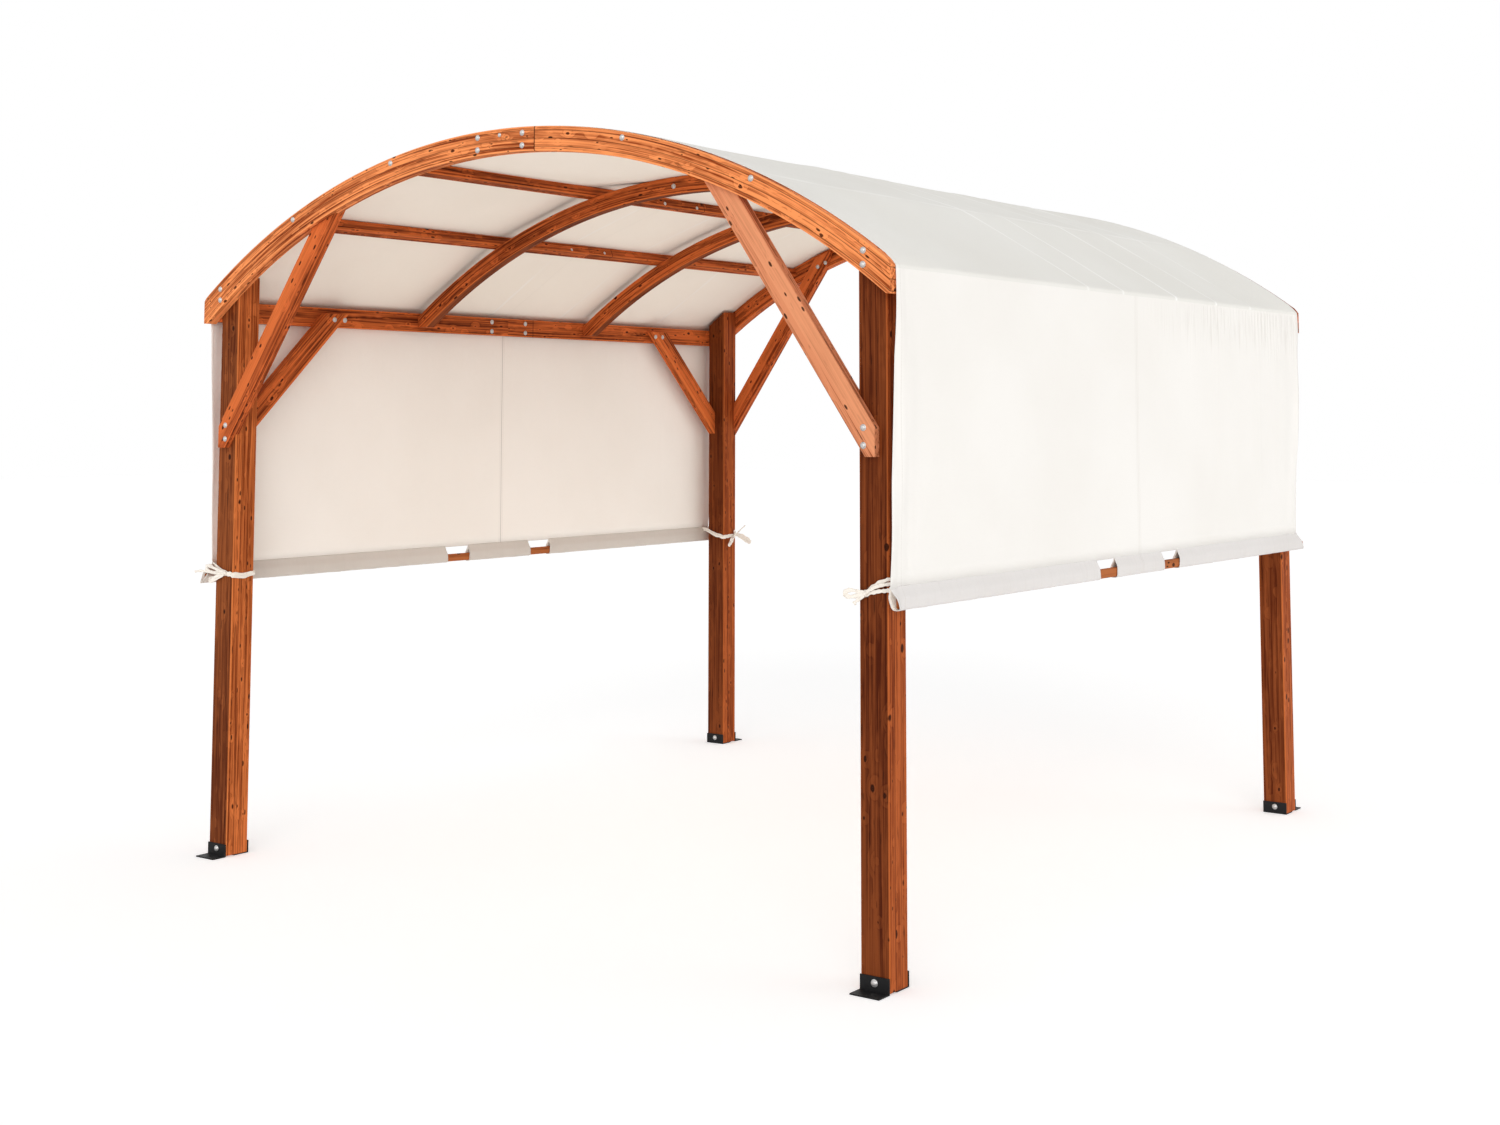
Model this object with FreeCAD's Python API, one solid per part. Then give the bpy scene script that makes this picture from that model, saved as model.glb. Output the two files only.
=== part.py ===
import FreeCAD
import Part
import math
import os

os.makedirs("parts", exist_ok=True)

# Garden gazebo with laminated arches and a fabric canopy, in millimetres.
# X runs along the front, Y from front to back, Z up; the origin is the middle of the footprint.

# Posts
post_size = 96.0
post_spacing_x = 2822.0
post_spacing_y = 2940.0
post_top_below_arch = 16.0

# Eased long edges: rounded on straight timbers, bevelled on the arches and rafters
post_arris = 6.0
arris = 4.0
arch_bevel = 3.0

# Arches, two laminated halves each, lapped at the crown; the rise is from the frame's sides to the crown
arch_thickness = 48.0
arch_depth = 80.0
arch_rise = 505.0
arch_above_beam = 8.0
arch_end_below_beam = 7.0
arch_end_chamfer_x = 16.0
arch_end_chamfer_z = 21.0
crown_lap = 149.0

# Eave beams on the outer faces of the posts
beam_thickness = 41.0
beam_bottom_z = 1927.0
beam_height = 75.0
beam_lap = 157.0

# Rafters between the arches
rafter_thickness = 45.0
rafter_depth = 65.0
rafter_top_below_arch = 42.0
rafter_spacing = 1020.0
rafter_foot_up_beam = 18.0
rafter_lap = 140.0

# Purlins over the rafters
purlin_width = 45.0
purlin_height = 38.0
purlin_upper_x = 520.0
purlin_lower_x = 1020.0
purlin_lap = 150.0

# Knee braces, their heights taken down from the eave beams and their feet in from the posts' faces
brace_width = 76.0
brace_thickness = 40.0
arch_brace_angle = 55.0
arch_brace_corner_on_post = 16.0
arch_brace_corner_below_beam = 437.0
arch_brace_foot_on_post = 69.0
arch_brace_foot_below_beam = 463.0
arch_brace_front = 24.0
arch_brace_top_reach = 578.0
arch_brace_top_gap = 14.0
side_brace_angle = 45.0
side_brace_low_below_beam = 432.0
side_brace_top_below_beam_top = 24.0

# Steel brackets at the foot of each post
bracket_width = 96.0
bracket_height = 44.0
bracket_plate = 4.0
bracket_flange = 56.0
bracket_hole_d = 11.0
bracket_hole_from_post = 31.0
bracket_tuck = 60.0

# Canopy, one sheet of fabric over the purlins with a drop on each side
fabric = 2.0
fabric_gap = 0.3
eave_turn = 1.0
canopy_front_set_back = 28.0
canopy_settle = 420.0
roof_steps = 4
hem_height = 62.0
drop_left_length = 1032.0
drop_right_length = 958.0
rail_width = 20.0
rail_height = 30.0
rail_chamfer = 4.0
rail_end_inset = 12.0
cutout_positions = (-250.0, 250.0)
cutout_top_length = 134.0
cutout_bottom_length = 124.0

# Cotton ties round the posts
tie_height = 14.0
tie_thickness = 1.6
tie_gap = 0.3
tie_above_hem = 36.0
tie_knot_width = 22.0
tie_knot_height = 20.0
tie_knot_depth = 12.0
tie_loop_length = 62.0
tie_loop_height = 20.0
tie_tail_length = 78.0
tie_tail_width = 12.0

# Derived positions
half_post = post_size / 2
post_x = post_spacing_x / 2
post_y = post_spacing_y / 2
post_outer_x = post_x + half_post
post_inner_x = post_x - half_post
post_outer_y = post_y + half_post
post_inner_y = post_y - half_post
frame_half_x = post_outer_x + beam_thickness
frame_half_y = post_outer_y + arch_thickness
beam_top_z = beam_bottom_z + beam_height
arch_crown_z = beam_top_z + arch_above_beam + arch_rise
arch_radius = (frame_half_x ** 2 + arch_rise ** 2) / (2 * arch_rise)
arch_centre_z = arch_crown_z - arch_radius
arch_inner_radius = arch_radius - arch_depth
rafter_foot_z = beam_bottom_z + rafter_foot_up_beam
rafter_radius = arch_radius - rafter_top_below_arch
rafter_inner_radius = rafter_radius - rafter_depth
purlin_radius = rafter_radius + purlin_height
big = 4000.0
cutter_reach = 100.0


def box(x0, x1, y0, y1, z0, z1):
    return Part.makeBox(x1 - x0, y1 - y0, z1 - z0, FreeCAD.Vector(x0, y0, z0))


def prism_xz(points, y0, y1):
    """Solid from a closed outline in the front view."""
    corners = [FreeCAD.Vector(x, y0, z) for x, z in points]
    face = Part.Face(Part.makePolygon(corners + [corners[0]]))
    return face.extrude(FreeCAD.Vector(0, y1 - y0, 0))


def prism_yz(points, x0, x1):
    """Solid from a closed outline in the side view."""
    corners = [FreeCAD.Vector(x0, y, z) for y, z in points]
    face = Part.Face(Part.makePolygon(corners + [corners[0]]))
    return face.extrude(FreeCAD.Vector(x1 - x0, 0, 0))


def ring(inner, outer, y0, y1, bevel=0.0):
    """Ring about the arch centre, wide along Y."""
    base = FreeCAD.Vector(0, y0, arch_centre_z)
    along = FreeCAD.Vector(0, 1, 0)
    body = Part.makeCylinder(outer, y1 - y0, base, along)
    body = body.cut(Part.makeCylinder(inner, y1 - y0, base, along))
    if bevel > 0:
        rims = [e for e in body.Edges if isinstance(e.Curve, Part.Circle)]
        body = body.makeChamfer(bevel, rims)
    return body


def round_long(shape, radius, direction):
    """Rounds the edges that run along one direction."""
    way = FreeCAD.Vector(*direction)
    way.normalize()
    long_edges = []
    for edge in shape.Edges:
        run = edge.Vertexes[-1].Point - edge.Vertexes[0].Point
        if run.Length > 4 * radius and abs(run.dot(way)) > 0.999 * run.Length:
            long_edges.append(edge)
    return shape.makeFillet(radius, long_edges)


def flip_x(shape):
    return shape.mirror(FreeCAD.Vector(0, 0, 0), FreeCAD.Vector(1, 0, 0))


def flip_y(shape):
    return shape.mirror(FreeCAD.Vector(0, 0, 0), FreeCAD.Vector(0, 1, 0))


def arc_z(radius, x):
    return arch_centre_z + math.sqrt(radius * radius - x * x)


def save(name, shape):
    solids = shape.Solids
    whole = solids[0] if len(solids) == 1 else Part.makeCompound(solids)
    whole.exportStep("parts/" + name + ".step")
    print(name, len(solids), round(shape.Volume / 1000.0, 1))


def save_four(name, front_right):
    """Front right piece and its three mirror images."""
    back_right = flip_y(front_right)
    save(name + "_front_right", front_right)
    save(name + "_front_left", flip_x(front_right))
    save(name + "_back_right", back_right)
    save(name + "_back_left", flip_x(back_right))


# Roof line of the canopy's inside, right half, from the crown to the eave
def purlin_corners(at_x):
    """Top corners of a purlin, with the fabric's gap."""
    middle = purlin_radius - purlin_height / 2
    angle = math.asin(at_x / middle)
    top = purlin_radius + fabric_gap
    half = purlin_width / 2 + fabric_gap
    out = []
    for side in (-1, 1):
        x = top * math.sin(angle) + side * half * math.cos(angle)
        z = arch_centre_z + top * math.cos(angle) - side * half * math.sin(angle)
        out.append((x, z))
    return out


upper_in, upper_out = purlin_corners(purlin_upper_x)
lower_in, lower_out = purlin_corners(purlin_lower_x)
eave_corner = (frame_half_x + fabric_gap, beam_top_z + fabric_gap)


def between(start, end, steps):
    out = []
    for i in range(1, steps + 1):
        t = i / steps
        out.append((start[0] + (end[0] - start[0]) * t, start[1] + (end[1] - start[1]) * t))
    return out


def eave_chord_z(x):
    run = eave_corner[0] - lower_out[0]
    return lower_out[1] + (eave_corner[1] - lower_out[1]) * (x - lower_out[0]) / run


chamfer_x = frame_half_x - arch_end_chamfer_x
taut = [(0.0, upper_in[1])]
taut = taut + between((0.0, upper_in[1]), upper_in, roof_steps)
taut = taut + between(upper_in, upper_out, 1)
taut = taut + between(upper_out, lower_in, roof_steps)
taut = taut + between(lower_in, lower_out, 1)
taut = taut + between(lower_out, (chamfer_x, eave_chord_z(chamfer_x)), roof_steps)
longest = max(math.dist(taut[i], taut[i + 1]) for i in range(len(taut) - 1))
over_arch = arch_radius + fabric_gap + longest ** 2 / (8 * arch_radius)
over_rafter = rafter_radius + fabric_gap + longest ** 2 / (8 * rafter_radius)
inside_taut = [(x, max(z, arc_z(over_rafter, x))) for x, z in taut]
inside_arch = [(x, arc_z(over_arch, x)) for x, z in taut]
arch_end_top_z = arc_z(arch_radius, chamfer_x) - arch_end_chamfer_z
eave_z = eave_corner[1]
turn_z = max(arch_end_top_z, eave_z) + eave_turn
inside_taut = inside_taut + [(eave_corner[0], eave_z + eave_turn), (eave_corner[0], eave_z)]
inside_arch = inside_arch + [(eave_corner[0], turn_z), (eave_corner[0], eave_z)]


def thicken(inside):
    """Closed outline of the sheet from the inside line of its right half."""
    outside = []
    for x, z in inside[:-2]:
        reach = math.hypot(x, z - arch_centre_z)
        outside.append((x * (1 + fabric / reach), z + (z - arch_centre_z) * fabric / reach))
    corner = inside[-2]
    outside.append((corner[0] + fabric, corner[1] + eave_turn))
    outside.append((inside[-1][0] + fabric, inside[-1][1]))
    right = inside
    left = [(-x, z) for x, z in reversed(inside[1:])]
    right_out = outside
    left_out = [(-x, z) for x, z in reversed(outside[1:])]
    return left + right + list(reversed(left_out + right_out))


def section(outline, y):
    corners = [FreeCAD.Vector(x, y, z) for x, z in outline]
    return Part.makePolygon(corners + [corners[0]])


canopy_front_y = frame_half_y - canopy_front_set_back
settled_y = post_outer_y - canopy_settle
stations = [
    (-canopy_front_y, inside_arch),
    (-post_outer_y + 2.0, inside_arch),
    (-settled_y, inside_taut),
    (settled_y, inside_taut),
    (post_outer_y - 2.0, inside_arch),
    (canopy_front_y, inside_arch),
]
wires = [section(thicken(line), y) for y, line in stations]
canopy_roof = Part.makeLoft(wires, True, True)
save("canopy_roof", canopy_roof)


# Drops: a flat panel from the eave to the seam of the hem
drop_middle_x = frame_half_x + fabric_gap + fabric / 2
drop_left_bottom_z = eave_z - drop_left_length
drop_right_bottom_z = eave_z - drop_right_length


def make_drop(bottom_z):
    return box(
        drop_middle_x - fabric / 2, drop_middle_x + fabric / 2,
        -canopy_front_y, canopy_front_y, bottom_z + hem_height, eave_z)


def hem_profile(bottom_z, inset):
    """Teardrop outline of the hem sleeve: a seam above, the rail's shape below."""
    half = rail_width / 2 + fabric_gap + fabric - inset
    low = bottom_z + inset
    corner = rail_chamfer
    shoulder = bottom_z + fabric + fabric_gap + rail_height + fabric_gap + fabric - inset
    seam_z = bottom_z + hem_height - 2.5 * inset
    seam = max(fabric / 2 - inset, 0.15)
    side = [(half - corner, low), (half, low + corner), (half, shoulder), (seam, seam_z)]
    return [(drop_middle_x + x, z) for x, z in side] + [(drop_middle_x - x, z) for x, z in reversed(side)]


def make_hem(bottom_z):
    end = canopy_front_y
    sleeve = prism_xz(hem_profile(bottom_z, 0.0), -end, end)
    sleeve = sleeve.cut(prism_xz(hem_profile(bottom_z, fabric), -end - 10, end + 10))
    low = bottom_z - 5
    high = bottom_z + hem_height + 5
    for at in cutout_positions:
        outline = [
            (at - cutout_bottom_length / 2, low), (at + cutout_bottom_length / 2, low),
            (at + cutout_top_length / 2, high), (at - cutout_top_length / 2, high)]
        sleeve = sleeve.cut(prism_yz(outline, drop_middle_x - cutter_reach, drop_middle_x + cutter_reach))
    return sleeve


def make_rail(bottom_z):
    low = bottom_z + fabric + fabric_gap
    end = canopy_front_y - rail_end_inset
    bar = box(
        drop_middle_x - rail_width / 2, drop_middle_x + rail_width / 2, -end, end, low, low + rail_height)
    return bar.makeChamfer(rail_chamfer, [e for e in bar.Edges if e.Length > 2 * end - 1])


save("drop_right", make_drop(drop_right_bottom_z))
save("drop_left", flip_x(make_drop(drop_left_bottom_z)))
save("hem_sleeve_right", make_hem(drop_right_bottom_z))
save("hem_sleeve_left", flip_x(make_hem(drop_left_bottom_z)))
save("hem_rail_right", make_rail(drop_right_bottom_z))
save("hem_rail_left", flip_x(make_rail(drop_left_bottom_z)))

# Posts with the top cut to the slope of the arches, just below the canopy
top_outline = [
    (post_inner_x, bracket_plate), (post_outer_x, bracket_plate),
    (post_outer_x, arc_z(arch_radius, post_outer_x) - post_top_below_arch),
    (post_inner_x, arc_z(arch_radius, post_inner_x) - post_top_below_arch)]
post = round_long(prism_xz(top_outline, -post_outer_y, -post_inner_y), post_arris, (0, 0, 1))
save_four("post", post)

# Arches: the left half keeps the front layer over the lap, the right half the layer behind it
arch_front_y = -frame_half_y
arch_back_y = -post_outer_y
arch_mid_y = (arch_front_y + arch_back_y) / 2
arch_end_z = beam_bottom_z - arch_end_below_beam
arch_outline = [
    (-frame_half_x, arch_end_z), (-frame_half_x, arch_end_top_z),
    (-chamfer_x, arch_end_top_z + arch_end_chamfer_z), (-chamfer_x, arch_crown_z + cutter_reach),
    (chamfer_x, arch_crown_z + cutter_reach), (chamfer_x, arch_end_top_z + arch_end_chamfer_z),
    (frame_half_x, arch_end_top_z), (frame_half_x, arch_end_z)]
arch = ring(arch_inner_radius, arch_radius, arch_front_y, arch_back_y, arch_bevel)
arch = arch.common(prism_xz(arch_outline, arch_front_y, arch_back_y))
left_zone = box(-big, -crown_lap, arch_front_y, arch_back_y, 0, big)
left_zone = left_zone.fuse(box(-crown_lap, crown_lap, arch_front_y, arch_mid_y, 0, big))
arch_left = arch.common(left_zone)
arch_right = arch.cut(left_zone)
save("arch_front_left", arch_left)
save("arch_front_right", arch_right)
save("arch_back_left", flip_y(arch_left))
save("arch_back_right", flip_y(arch_right))

# Rafters, butted on the inner faces of the eave beams
rafter_y = rafter_spacing / 2
rafter_front = -rafter_y - rafter_thickness / 2
rafter_back = -rafter_y + rafter_thickness / 2
rafter = ring(rafter_inner_radius, rafter_radius, rafter_front, rafter_back, arch_bevel)
rafter = rafter.common(
    box(-post_outer_x, post_outer_x, rafter_front, rafter_back, rafter_foot_z, big))
left_zone = box(-big, -rafter_lap, rafter_front, rafter_back, 0, big)
left_zone = left_zone.fuse(box(-rafter_lap, rafter_lap, rafter_front, -rafter_y, 0, big))
rafter_left = rafter.common(left_zone)
rafter_right = rafter.cut(left_zone)
save("rafter_front_left", rafter_left)
save("rafter_front_right", rafter_right)
save("rafter_back_left", flip_y(rafter_left))
save("rafter_back_right", flip_y(rafter_right))

# Eave beams: the front length keeps the layer on the post side over the lap
beam = box(post_outer_x, frame_half_x, -post_outer_y, post_outer_y, beam_bottom_z, beam_top_z)
beam = round_long(beam, arris, (0, 1, 0))
beam_mid_x = post_outer_x + beam_thickness / 2
front_zone = box(post_outer_x, frame_half_x, -big, -beam_lap, 0, big)
front_zone = front_zone.fuse(box(post_outer_x, beam_mid_x, -beam_lap, beam_lap, 0, big))
beam_front = beam.common(front_zone)
beam_back = beam.cut(front_zone)
save("eave_beam_right_front", beam_front)
save("eave_beam_right_back", beam_back)
save("eave_beam_left_front", flip_x(beam_front))
save("eave_beam_left_back", flip_x(beam_back))


# Purlins, tilted to sit flat on the rafters, in two lengths with a lap over the middle
def make_purlin(at_x):
    middle = purlin_radius - purlin_height / 2
    angle = math.degrees(math.asin(at_x / middle))
    low = arch_centre_z + rafter_radius
    half = purlin_width / 2
    whole = box(-half, half, -post_outer_y, post_outer_y, low, low + purlin_height)
    whole = round_long(whole, arris, (0, 1, 0))
    zone = box(-half, half, -big, -purlin_lap, 0, big)
    zone = zone.fuse(box(-half, 0, -purlin_lap, purlin_lap, 0, big))
    front = whole.common(zone)
    back = whole.cut(zone)
    for shape in (front, back):
        shape.rotate(FreeCAD.Vector(0, 0, arch_centre_z), FreeCAD.Vector(0, 1, 0), angle)
    return front, back


for level, at_x in (("upper", purlin_upper_x), ("lower", purlin_lower_x)):
    front, back = make_purlin(at_x)
    save("purlin_" + level + "_right_front", front)
    save("purlin_" + level + "_right_back", back)
    save("purlin_" + level + "_left_front", flip_x(front))
    save("purlin_" + level + "_left_back", flip_x(back))

# Knee braces under the arches, lapped in front of the post and behind the arch
slope = math.tan(math.radians(arch_brace_angle))
across = brace_width / math.sin(math.radians(arch_brace_angle))
corner_x = post_inner_x + arch_brace_corner_on_post
corner_z = beam_bottom_z - arch_brace_corner_below_beam
foot_x = post_inner_x + arch_brace_foot_on_post
foot_z = beam_bottom_z - arch_brace_foot_below_beam
rise = arch_crown_z - corner_z
inner_low = (corner_x + (corner_z - foot_z) / slope, foot_z)
inner_high = (corner_x - rise / slope, arch_crown_z)
strip = [
    inner_low, (inner_low[0] + across, inner_low[1]), (inner_high[0] + across, inner_high[1]), inner_high]
brace_front_y = -post_outer_y - arch_brace_front
brace_back_y = brace_front_y + brace_thickness
brace = prism_xz(strip, brace_front_y, brace_back_y)
brace = round_long(brace, arris, (-1, 0, slope))
brace_top_x = post_inner_x - arch_brace_top_reach
brace = brace.common(box(brace_top_x, foot_x, brace_front_y, brace_back_y, foot_z, big))
brace = brace.common(
    ring(cutter_reach, arch_radius - arch_brace_top_gap, brace_front_y, brace_back_y))
arch_zone = ring(arch_inner_radius, arch_radius + cutter_reach, arch_front_y, arch_back_y)
brace = brace.cut(arch_zone)
brace = brace.cut(box(post_inner_x, post_outer_x, -post_outer_y, -post_inner_y, 0, big))
save_four("arch_brace", brace)

# Knee braces under the eave beams, flat on the beam and butted on the post
side_brace_low_z = beam_bottom_z - side_brace_low_below_beam
side_brace_top_z = beam_top_z - side_brace_top_below_beam_top
rise = side_brace_top_z - side_brace_low_z
run = rise / math.tan(math.radians(side_brace_angle))
tall = brace_width / math.cos(math.radians(side_brace_angle))
along = brace_width / math.sin(math.radians(side_brace_angle))
start = -post_inner_y
outline = [
    (start, side_brace_low_z), (start + run, side_brace_top_z),
    (start + run - along, side_brace_top_z), (start, side_brace_low_z + tall)]
side_brace = prism_yz(outline, post_outer_x - brace_thickness, post_outer_x)
side_brace = round_long(side_brace, arris, (0, run, rise))
save_four("side_brace", side_brace)

# Steel brackets: one with its flange outward, one with its flange tucked under the post
half_bracket = bracket_width / 2
outer_leg = box(
    post_x - half_bracket, post_x + half_bracket,
    -post_outer_y - bracket_plate, -post_outer_y, 0, bracket_height)
outer_flange = box(
    post_x - half_bracket, post_x + half_bracket,
    -post_outer_y - bracket_flange, -post_outer_y, 0, bracket_plate)
hole_y = -post_outer_y - bracket_hole_from_post
hole = Part.makeCylinder(bracket_hole_d / 2, 3 * bracket_plate, FreeCAD.Vector(post_x, hole_y, -bracket_plate))
outer_bracket = outer_leg.fuse(outer_flange).removeSplitter().cut(hole)
inner_leg = box(
    post_x - half_bracket, post_x + half_bracket,
    -post_inner_y, -post_inner_y + bracket_plate, 0, bracket_height)
inner_flange = box(
    post_x - half_bracket, post_x + half_bracket,
    -post_inner_y - bracket_tuck, -post_inner_y + bracket_plate, 0, bracket_plate)
inner_bracket = inner_leg.fuse(inner_flange).removeSplitter()
save_four("post_bracket", Part.makeCompound([outer_bracket, inner_bracket]))


# Cotton ties: a band round the post with a knot, two loops and two tails on the side that faces the front
def make_tie(tie_z, at_y):
    gap = tie_gap
    thick = tie_thickness
    reach = half_post + gap
    middle_z = tie_z + tie_height / 2
    outer = box(
        post_x - reach - thick, post_x + reach + thick,
        at_y - reach - thick, at_y + reach + thick, tie_z, tie_z + tie_height)
    hole = box(
        post_x - reach, post_x + reach, at_y - reach, at_y + reach, tie_z - 1, tie_z + tie_height + 1)
    band = outer.cut(hole)
    front = at_y - reach - thick
    knot = box(
        post_x - tie_knot_width / 2, post_x + tie_knot_width / 2,
        front - tie_knot_depth, front, middle_z - tie_knot_height / 2, middle_z + tie_knot_height / 2)
    bow = knot.makeChamfer(3.0, [e for e in knot.Edges if abs(e.CenterOfMass.y - front) > 1.0])
    for side in (-1, 1):
        near = post_x + side * (tie_knot_width / 2 - 4)
        far = near + side * tie_loop_length
        half = tie_loop_height / 2
        outline = [
            (near, middle_z - 2), (near + side * 18, middle_z - half), (far - side * 6, middle_z - half),
            (far, middle_z), (far - side * 6, middle_z + half), (near + side * 18, middle_z + half),
            (near, middle_z + 2)]
        loop = prism_xz(outline, front - tie_knot_depth + 2, front - 2)
        inside = []
        centre_x = sum(x for x, z in outline) / len(outline)
        for x, z in outline:
            inside.append((centre_x + (x - centre_x) * 0.82, middle_z + (z - middle_z) * 0.72))
        bow = bow.fuse(loop.cut(prism_xz(inside, front - tie_knot_depth, front)))
        low_x = near + side * tie_tail_length * 0.45
        low_z = middle_z - tie_tail_length * 0.85
        tail = [
            (near - side * 2, middle_z), (near - side * 2 - side * tie_tail_width, middle_z),
            (low_x - side * tie_tail_width, low_z), (low_x, low_z + 4)]
        bow = bow.fuse(prism_xz(tail, front - tie_knot_depth / 2 - thick, front - tie_knot_depth / 2 + thick))
    return band.fuse(bow).removeSplitter()


tie_z_left = drop_left_bottom_z + tie_above_hem
tie_z_right = drop_right_bottom_z + tie_above_hem
for word, at_y in (("front", -post_y), ("back", post_y)):
    save("tie_" + word + "_right", make_tie(tie_z_right, at_y))
    save("tie_" + word + "_left", flip_x(make_tie(tie_z_left, at_y)))
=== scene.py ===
import math
from functools import partial
from types import SimpleNamespace

import bmesh
import bpy
import numpy as np
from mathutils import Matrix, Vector, noise


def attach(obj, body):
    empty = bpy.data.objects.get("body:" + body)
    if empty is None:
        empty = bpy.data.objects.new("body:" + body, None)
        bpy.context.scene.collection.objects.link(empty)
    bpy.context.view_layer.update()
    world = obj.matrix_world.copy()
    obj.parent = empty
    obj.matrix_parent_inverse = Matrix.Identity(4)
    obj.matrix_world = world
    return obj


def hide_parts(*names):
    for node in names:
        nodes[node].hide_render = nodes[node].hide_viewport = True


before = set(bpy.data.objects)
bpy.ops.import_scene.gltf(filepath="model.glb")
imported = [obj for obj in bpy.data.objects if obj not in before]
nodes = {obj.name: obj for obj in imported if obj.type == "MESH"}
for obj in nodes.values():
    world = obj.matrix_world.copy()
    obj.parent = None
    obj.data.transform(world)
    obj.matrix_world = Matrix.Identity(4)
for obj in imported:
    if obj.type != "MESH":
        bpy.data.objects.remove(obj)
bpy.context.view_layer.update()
scene = bpy.context.scene
scene.view_settings.view_transform = "Standard"

# Sizes of the frame that the looks follow, in metres
frameSizes = {
    "postX": 1.411,
    "postY": 1.470,
    "postHalf": 0.048,
    "bracketPlate": 0.004,
    "clothGap": 0.0003,
    "clothHalf": 0.001,
    "archThickness": 0.048,
    "archDepth": 0.080,
    "archBoard": 0.0267,
    "archRise": 0.505,
    "archSpringZ": 2.010,
    "rafterBelowArch": 0.042,
    "rafterDepth": 0.065,
    "rafterY": 0.510,
    "rafterThickness": 0.045,
    "beamThickness": 0.041,
    "beamBottomZ": 1.927,
    "beamTopZ": 2.002,
    "purlinHeight": 0.038,
    "purlinWidth": 0.045,
    "purlinX": (0.520, 1.020),
    "crownLap": 0.149,
    "rafterLap": 0.140,
    "beamLap": 0.157,
    "purlinLap": 0.150,
}
postOuterX = frameSizes["postX"] + frameSizes["postHalf"]
postOuterY = frameSizes["postY"] + frameSizes["postHalf"]
frameHalfX = postOuterX + frameSizes["beamThickness"]
frameHalfY = postOuterY + frameSizes["archThickness"]
archRadius = (frameHalfX ** 2 + frameSizes["archRise"] ** 2) / (2 * frameSizes["archRise"])
archCentreZ = frameSizes["archSpringZ"] + frameSizes["archRise"] - archRadius
rafterRadius = archRadius - frameSizes["rafterBelowArch"]
purlinRadius = rafterRadius + frameSizes["purlinHeight"]
# where the middle of the cloth turns down over the eave beam
clothGap = frameSizes["clothGap"]
eaveX = frameHalfX + clothGap + frameSizes["clothHalf"]
eaveZ = frameSizes["beamTopZ"] + clothGap + frameSizes["clothHalf"]


# Small helpers for node trees
def addNode(tree, kind, at=(0, 0), **settings):
    node = tree.nodes.new(kind)
    node.location = at
    for name, value in settings.items():
        setattr(node, name, value)
    return node


def newGroup(name, inputs, outputs):
    group = bpy.data.node_groups.new(name, "ShaderNodeTree")
    for socketName, kind, default in inputs:
        socket = group.interface.new_socket(name=socketName, in_out="INPUT", socket_type=kind)
        if default is not None:
            socket.default_value = default
    for socketName, kind in outputs:
        group.interface.new_socket(name=socketName, in_out="OUTPUT", socket_type=kind)
    gin = addNode(group, "NodeGroupInput", (-1600, 0))
    gout = addNode(group, "NodeGroupOutput", (1400, 0))
    return group, gin.outputs, gout.inputs, sumsFor(group)


def calc(tree, operation, a, b=None, c=None, clamp=False):
    node = addNode(tree, "ShaderNodeMath", operation=operation, use_clamp=clamp)
    for i, value in enumerate((a, b, c)):
        if value is None:
            continue
        if isinstance(value, (int, float)):
            node.inputs[i].default_value = value
        else:
            tree.links.new(value, node.inputs[i])
    return node.outputs[0]


def mixColor(tree, factor, a, b, blend="MIX"):
    node = addNode(tree, "ShaderNodeMix", data_type="RGBA", blend_type=blend)
    for socket, value in ((node.inputs["Factor"], factor), (node.inputs[6], a), (node.inputs[7], b)):
        if isinstance(value, (int, float)):
            socket.default_value = value
        elif isinstance(value, tuple):
            socket.default_value = (*value, 1.0) if len(value) == 3 else value
        else:
            tree.links.new(value, socket)
    return node.outputs[2]


def ramp(tree, value, low, high, outLow=0.0, outHigh=1.0):
    node = addNode(tree, "ShaderNodeMapRange", clamp=True, interpolation_type="SMOOTHSTEP")
    tree.links.new(value, node.inputs[0])
    for i, number in enumerate((low, high, outLow, outHigh)):
        if isinstance(number, (int, float)):
            node.inputs[1 + i].default_value = number
        else:
            tree.links.new(number, node.inputs[1 + i])
    return node.outputs[0]


def separate(tree, vector):
    node = addNode(tree, "ShaderNodeSeparateXYZ")
    tree.links.new(vector, node.inputs[0])
    return node.outputs


def combine(tree, *parts):
    node = addNode(tree, "ShaderNodeCombineXYZ")
    for i, part in enumerate(parts):
        tree.links.new(part, node.inputs[i])
    return node.outputs[0]


def noiseOn(tree, place, scale=1.0, detail=2.0, roughness=0.5):
    node = addNode(tree, "ShaderNodeTexNoise")
    for socketName, value in (("Scale", scale), ("Detail", detail), ("Roughness", roughness)):
        node.inputs[socketName].default_value = value
    tree.links.new(place, node.inputs["Vector"])
    return node.outputs["Fac"]


# Short names for what is worked out in one tree, such as do.times(a, b)
sumNames = {
    "plus": "ADD", "minus": "SUBTRACT", "times": "MULTIPLY", "over": "DIVIDE", "timesPlus": "MULTIPLY_ADD",
    "least": "MINIMUM", "most": "MAXIMUM", "above": "GREATER_THAN", "below": "LESS_THAN",
    "absolute": "ABSOLUTE", "sign": "SIGN", "floor": "FLOOR", "fraction": "FRACT", "power": "POWER",
    "root": "SQRT", "sine": "SINE", "angle": "ARCTAN2",
}


def sumsFor(tree):
    sums = {name: partial(calc, tree, operation) for name, operation in sumNames.items()}
    return SimpleNamespace(
        **sums, ramp=partial(ramp, tree), mix=partial(mixColor, tree), noise=partial(noiseOn, tree),
        separate=partial(separate, tree), combine=partial(combine, tree))


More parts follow.
